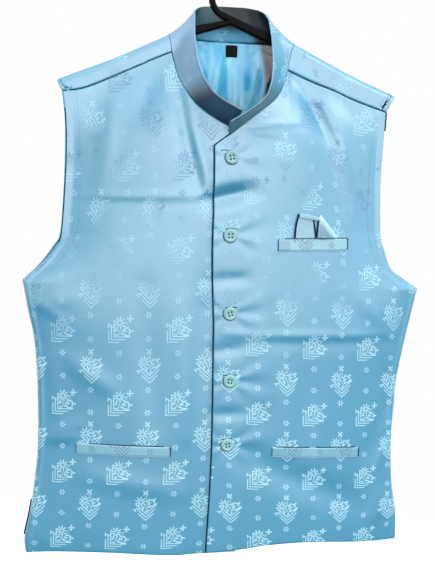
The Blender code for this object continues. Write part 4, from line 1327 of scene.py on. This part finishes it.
def on_front(side, path, lift, spacing=2.0):
    """A path of x and height laid on a front and lifted off it."""
    path = np.array(path, float)
    reach = np.linalg.norm(np.diff(path, axis=0), axis=1).sum()
    flat = at(path, np.linspace(0, 1, max(4, int(reach / spacing))))
    y = front_y(flat[:, 0], flat[:, 1], side) - lift
    return np.column_stack([flat[:, 0], y, flat[:, 1]])


def stitches(points, length=2.4, gap=1.1):
    """Cuts a path into the short runs of a sewn stitch."""
    travelled = np.concatenate([[0], np.cumsum(np.linalg.norm(np.diff(points, axis=0), axis=1))])
    runs = []
    for start in np.arange(0, travelled[-1] - length, length + gap):
        wanted = start + np.array([0.0, 0.35, 0.65, 1.0]) * length
        runs.append(np.column_stack([np.interp(wanted, travelled, points[:, axis]) for axis in range(3)]))
    return runs


def make_edge_shadow(points):
    """Painted shadow: a dark cord along the edge of the front that laps over, where that edge casts shade.
    """
    rows = row_steps() <= LAP_STEP + 0.2
    edge = points[rows, -1] + np.array(EDGE_SHADOW_SHIFT)
    tube_mesh("front_edge_shadow", [(edge, EDGE_SHADOW_RADIUS)], DARK_THREAD_AND_SHADE)


def make_dark_lines_and_shade(grids, body):
    """The dark lines of the seams, buttonholes and welt ends, and painted shade: dark cords in the pocket
    mouths, in the gaps at the armholes and the side seam, along the square's edges, round each button's
    lower left and down its holes.
    """
    paths = []
    for side in SIDES:
        row = grids[side][-1] + np.array(SHOULDER_THREAD["shift"])
        paths.append((row, SHOULDER_THREAD["radius"]))
    first = LIP_COLUMNS + SHOULDER_COLUMNS
    neck = body[-1][first:first + NECK_COLUMNS + 1]
    paths.append((neck + np.array(NECK_THREAD["shift"]), NECK_THREAD["radius"]))
    for (x, z), (start, end, rise) in zip(BUTTONS, BUTTONHOLES):
        middle = x + 0.5 * (start + end)
        slit = [(x + start, z + rise - 0.8), (middle, z + rise), (x + end, z + rise - 0.4)]
        paths.append((on_front("left", slit, 0.1, 1.0), SLIT_RADIUS))
    for name, size in WELTS.items():
        (x0, x1), (z0, z1), height = size["x"], size["z"], size["height"]
        out = LAYER_GAP + WELT_WALL
        side = size["front"]
        slope = (z1 - z0) / (x1 - x0)
        # Painted shade in the pocket mouths.
        for start, end in WELT_MOUTH_SHADES[name]:
            top = [(x, z0 + slope * (x - x0) + height + 0.2) for x in (start, end)]
            paths.append((on_front(side, top, out - 0.3), MOUTH_SHADE_RADIUS))
        outer_end = [(x1 - 0.6, z1 + 0.8), (x1 - 0.6, z1 + height - 0.6)]
        inner_end = [(x0 + 0.6, z0 + 1.0), (x0 + 0.6, z0 + height - 1.0)]
        paths.append((on_front(side, outer_end, out), WELT_END_RADII[1]))
        paths.append((on_front(side, inner_end, out), WELT_END_RADII[0]))
    # Painted shade in the gaps at the armholes and the side seam.
    for edges, side, lowest, highest, inset, depth, radius in SIDE_GAP_SHADES:
        path = at(edges[side], np.linspace(0, 1, 90))
        path = path[(path[:, 1] > lowest) & (path[:, 1] < highest)]
        x = sign_of(side) * (path[:, 0] - inset)
        paths.append((np.column_stack([x, np.full(len(x), depth), path[:, 1]]), radius))
    # Painted shade along the square's edges.
    for path in SQUARE_EDGE_SHADES:
        paths.append((on_front("left", path, LAYER_GAP + SQUARE_WALL, 1.5), SQUARE_SHADE_RADIUS))
    for number, (x, z) in enumerate(BUTTONS, 1):
        normal = np.array(surface_normal(x, z))
        seat = np.array([x, float(front_y(x, z)), z])
        # Painted shadow: a dark arc of cord round each button's lower left.
        turn = np.linspace(*(math.radians(angle) for angle in BUTTON_SHADE["turns"]), 26)
        reach = BUTTON_SHADE["reach"]
        fold_lip_and_button_shadow = np.column_stack([x + reach * np.cos(turn), 0 * turn, z + reach * np.sin(turn)])
        fold_lip_and_button_shadow[:, 1] = front_y(fold_lip_and_button_shadow[:, 0], fold_lip_and_button_shadow[:, 2]) - BUTTON_SHADE["lift"]
        paths.append((fold_lip_and_button_shadow, BUTTON_SHADE["radius"]))
        # Thread down each hole, in the dark finish as painted shade in the holes.
        for across, up in hole_places(number):
            spot = seat + np.array([across, 0, up])
            dark = np.array([spot + normal * height for height in HOLE_DARK["heights"]])
            paths.append((dark, HOLE_DARK["radius"]))
    tube_mesh("dark_lines_and_painted_shade", paths, DARK_THREAD_AND_SHADE)


def make_stitching(grids):
    """The pale stitches along the pocket welts' lower edges, which also stand as a painted highlight
    there, and fine ones round the armholes and the hem.
    """
    runs = []
    edge_runs = []
    for size in WELTS.values():
        (x0, x1), (z0, z1) = size["x"], size["z"]
        edge = [(x0 + 1, z0 + 0.2), (x1 - 1, z1 + 0.2)]
        path = on_front(size["front"], edge, LAYER_GAP + WELT_WALL, 0.8)
        runs += [(run, WELT_STITCH_RADIUS) for run in stitches(path, 2.6, 0.5)]
    for side in SIDES:
        steps = row_steps()
        chosen = steps >= SIDE_STEP
        rim = grids[side][chosen][:, STITCHED_COLUMN] + np.array([0.0, -0.05, 0.0])
        edge_runs += [(run, EDGE_STITCH_RADIUS) for run in stitches(rim)]
        hem = grids[side][3] + np.array([0.0, -0.05, 3.0])
        edge_runs += [(run, EDGE_STITCH_RADIUS) for run in stitches(hem[STITCHED_COLUMN:-3])]
    tube_mesh("welt_stitching_and_highlight", runs, WELT_THREAD_AND_HIGHLIGHT)
    tube_mesh("edge_stitching", edge_runs, EDGE_THREAD)


grids = make_fronts()
body, steps, strips = make_back()
seam = neck_seam(grids, body, strips)
make_collar(seam)
make_lining(body, steps)
make_label()
for name, size in WELTS.items():
    make_welt(name, size)
make_square()
for number, (x, z) in enumerate(BUTTONS, 1):
    make_button(number, x, z)
make_edge_shadow(grids["left"])
make_dark_lines_and_shade(grids, body)
make_stitching(grids)
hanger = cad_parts["hanger"]
for material_slot in hanger.material_slots:
    material_slot.material = HANGER


# Floor, light and camera.

FLOOR_HEIGHT = -2.6
FLOOR_RADIUS = 3.4
FLOOR_BACK = 0.8
SKY_LOW = (0.01, 0.025, 0.05)
SKY_FRONT = (2.60, 2.66, 2.68)
SKY_OVERHEAD = (1.70, 1.70, 1.70)
SKY_BEHIND = (1.0, 1.0, 1.0)
KEY_PLACE = (1.15, -0.75, 0.85)
KEY_TARGET = (0, 0, -0.4)
KEY_SIZE = (0.9, 0.9)
KEY_POWER = 6
CAMERA_PLACE = Vector((-0.1661, -1.1179, -0.2076))
CAMERA_YAW = math.radians(8)
CAMERA_PITCH = math.radians(11)
CAMERA_ROLL = math.radians(-2)
CAMERA_LENS = 53.43


def make_floor():
    work = bmesh.new()
    bmesh.ops.create_circle(work, cap_ends=True, segments=96, radius=FLOOR_RADIUS)
    made, tree, shader = new_material("floor")
    speck = tree.noise(tree.coordinates("Object")[0], 30.0, 4.0)
    tree.fill(
        shader, Base_Color=tree.mix(speck, (0.86, 0.86, 0.86), (0.90, 0.90, 0.90)), Roughness=0.8,
        Emission_Color=(1, 1, 1, 1), Emission_Strength=0.3)
    floor = finished("floor", work, made)
    floor.location = (0, FLOOR_BACK, FLOOR_HEIGHT)
    floor.visible_diffuse = False
    floor.visible_glossy = False


def make_world():
    """A pale studio: white behind and above, deeper low in front and out to both sides."""
    world = bpy.data.worlds.new("studio")
    bpy.context.scene.world = world
    world.use_nodes = True
    tree = Tree(world.node_tree)
    _, east, north, up = tree.coordinates("Generated")
    front = tree.mix(tree.ramp(up, -0.39, -0.08), SKY_LOW, SKY_FRONT)
    front = tree.mix(tree.ramp(up, 0.10, 0.45), front, SKY_OVERHEAD)
    flags = tree.times(tree.ramp(tree.math("ABSOLUTE", east), 0.30, 0.72), 0.62)
    lean = tree.math("MULTIPLY_ADD", east, 0.10, 1.0)
    front = tree.shaded(front, tree.less(lean, flags))
    behind = tree.inside(tree.less(0.15, north), 0.4)
    background = world.node_tree.nodes["Background"]
    tree.fill(background, Color=tree.mix(behind, front, SKY_BEHIND), Strength=1.0)


def make_key_light():
    data = bpy.data.lights.new("key", "AREA")
    data.shape = "RECTANGLE"
    data.size, data.size_y = KEY_SIZE
    data.energy = KEY_POWER
    lamp = bpy.data.objects.new("key", data)
    lamp.location = KEY_PLACE
    lamp.rotation_euler = (Vector(KEY_TARGET) - Vector(KEY_PLACE)).to_track_quat("-Z", "Y").to_euler()
    bpy.context.scene.collection.objects.link(lamp)


def make_camera():
    forward = Vector((
        math.sin(CAMERA_YAW) * math.cos(CAMERA_PITCH), math.cos(CAMERA_YAW) * math.cos(CAMERA_PITCH),
        -math.sin(CAMERA_PITCH)))
    level = Vector((math.cos(CAMERA_YAW), -math.sin(CAMERA_YAW), 0))
    upward = level.cross(forward)
    right = level * math.cos(CAMERA_ROLL) - upward * math.sin(CAMERA_ROLL)
    up = level * math.sin(CAMERA_ROLL) + upward * math.cos(CAMERA_ROLL)
    data = bpy.data.cameras.new("camera")
    data.sensor_fit = "AUTO"
    data.sensor_width = 36
    data.lens = CAMERA_LENS
    camera = bpy.data.objects.new("camera", data)
    turned = Matrix((right, up, -forward)).transposed().to_4x4()
    camera.matrix_world = Matrix.Translation(CAMERA_PLACE) @ turned
    bpy.context.scene.collection.objects.link(camera)
    bpy.context.scene.camera = camera


make_floor()
make_world()
make_key_light()
make_camera()
bpy.context.scene.view_settings.view_transform = "Standard"
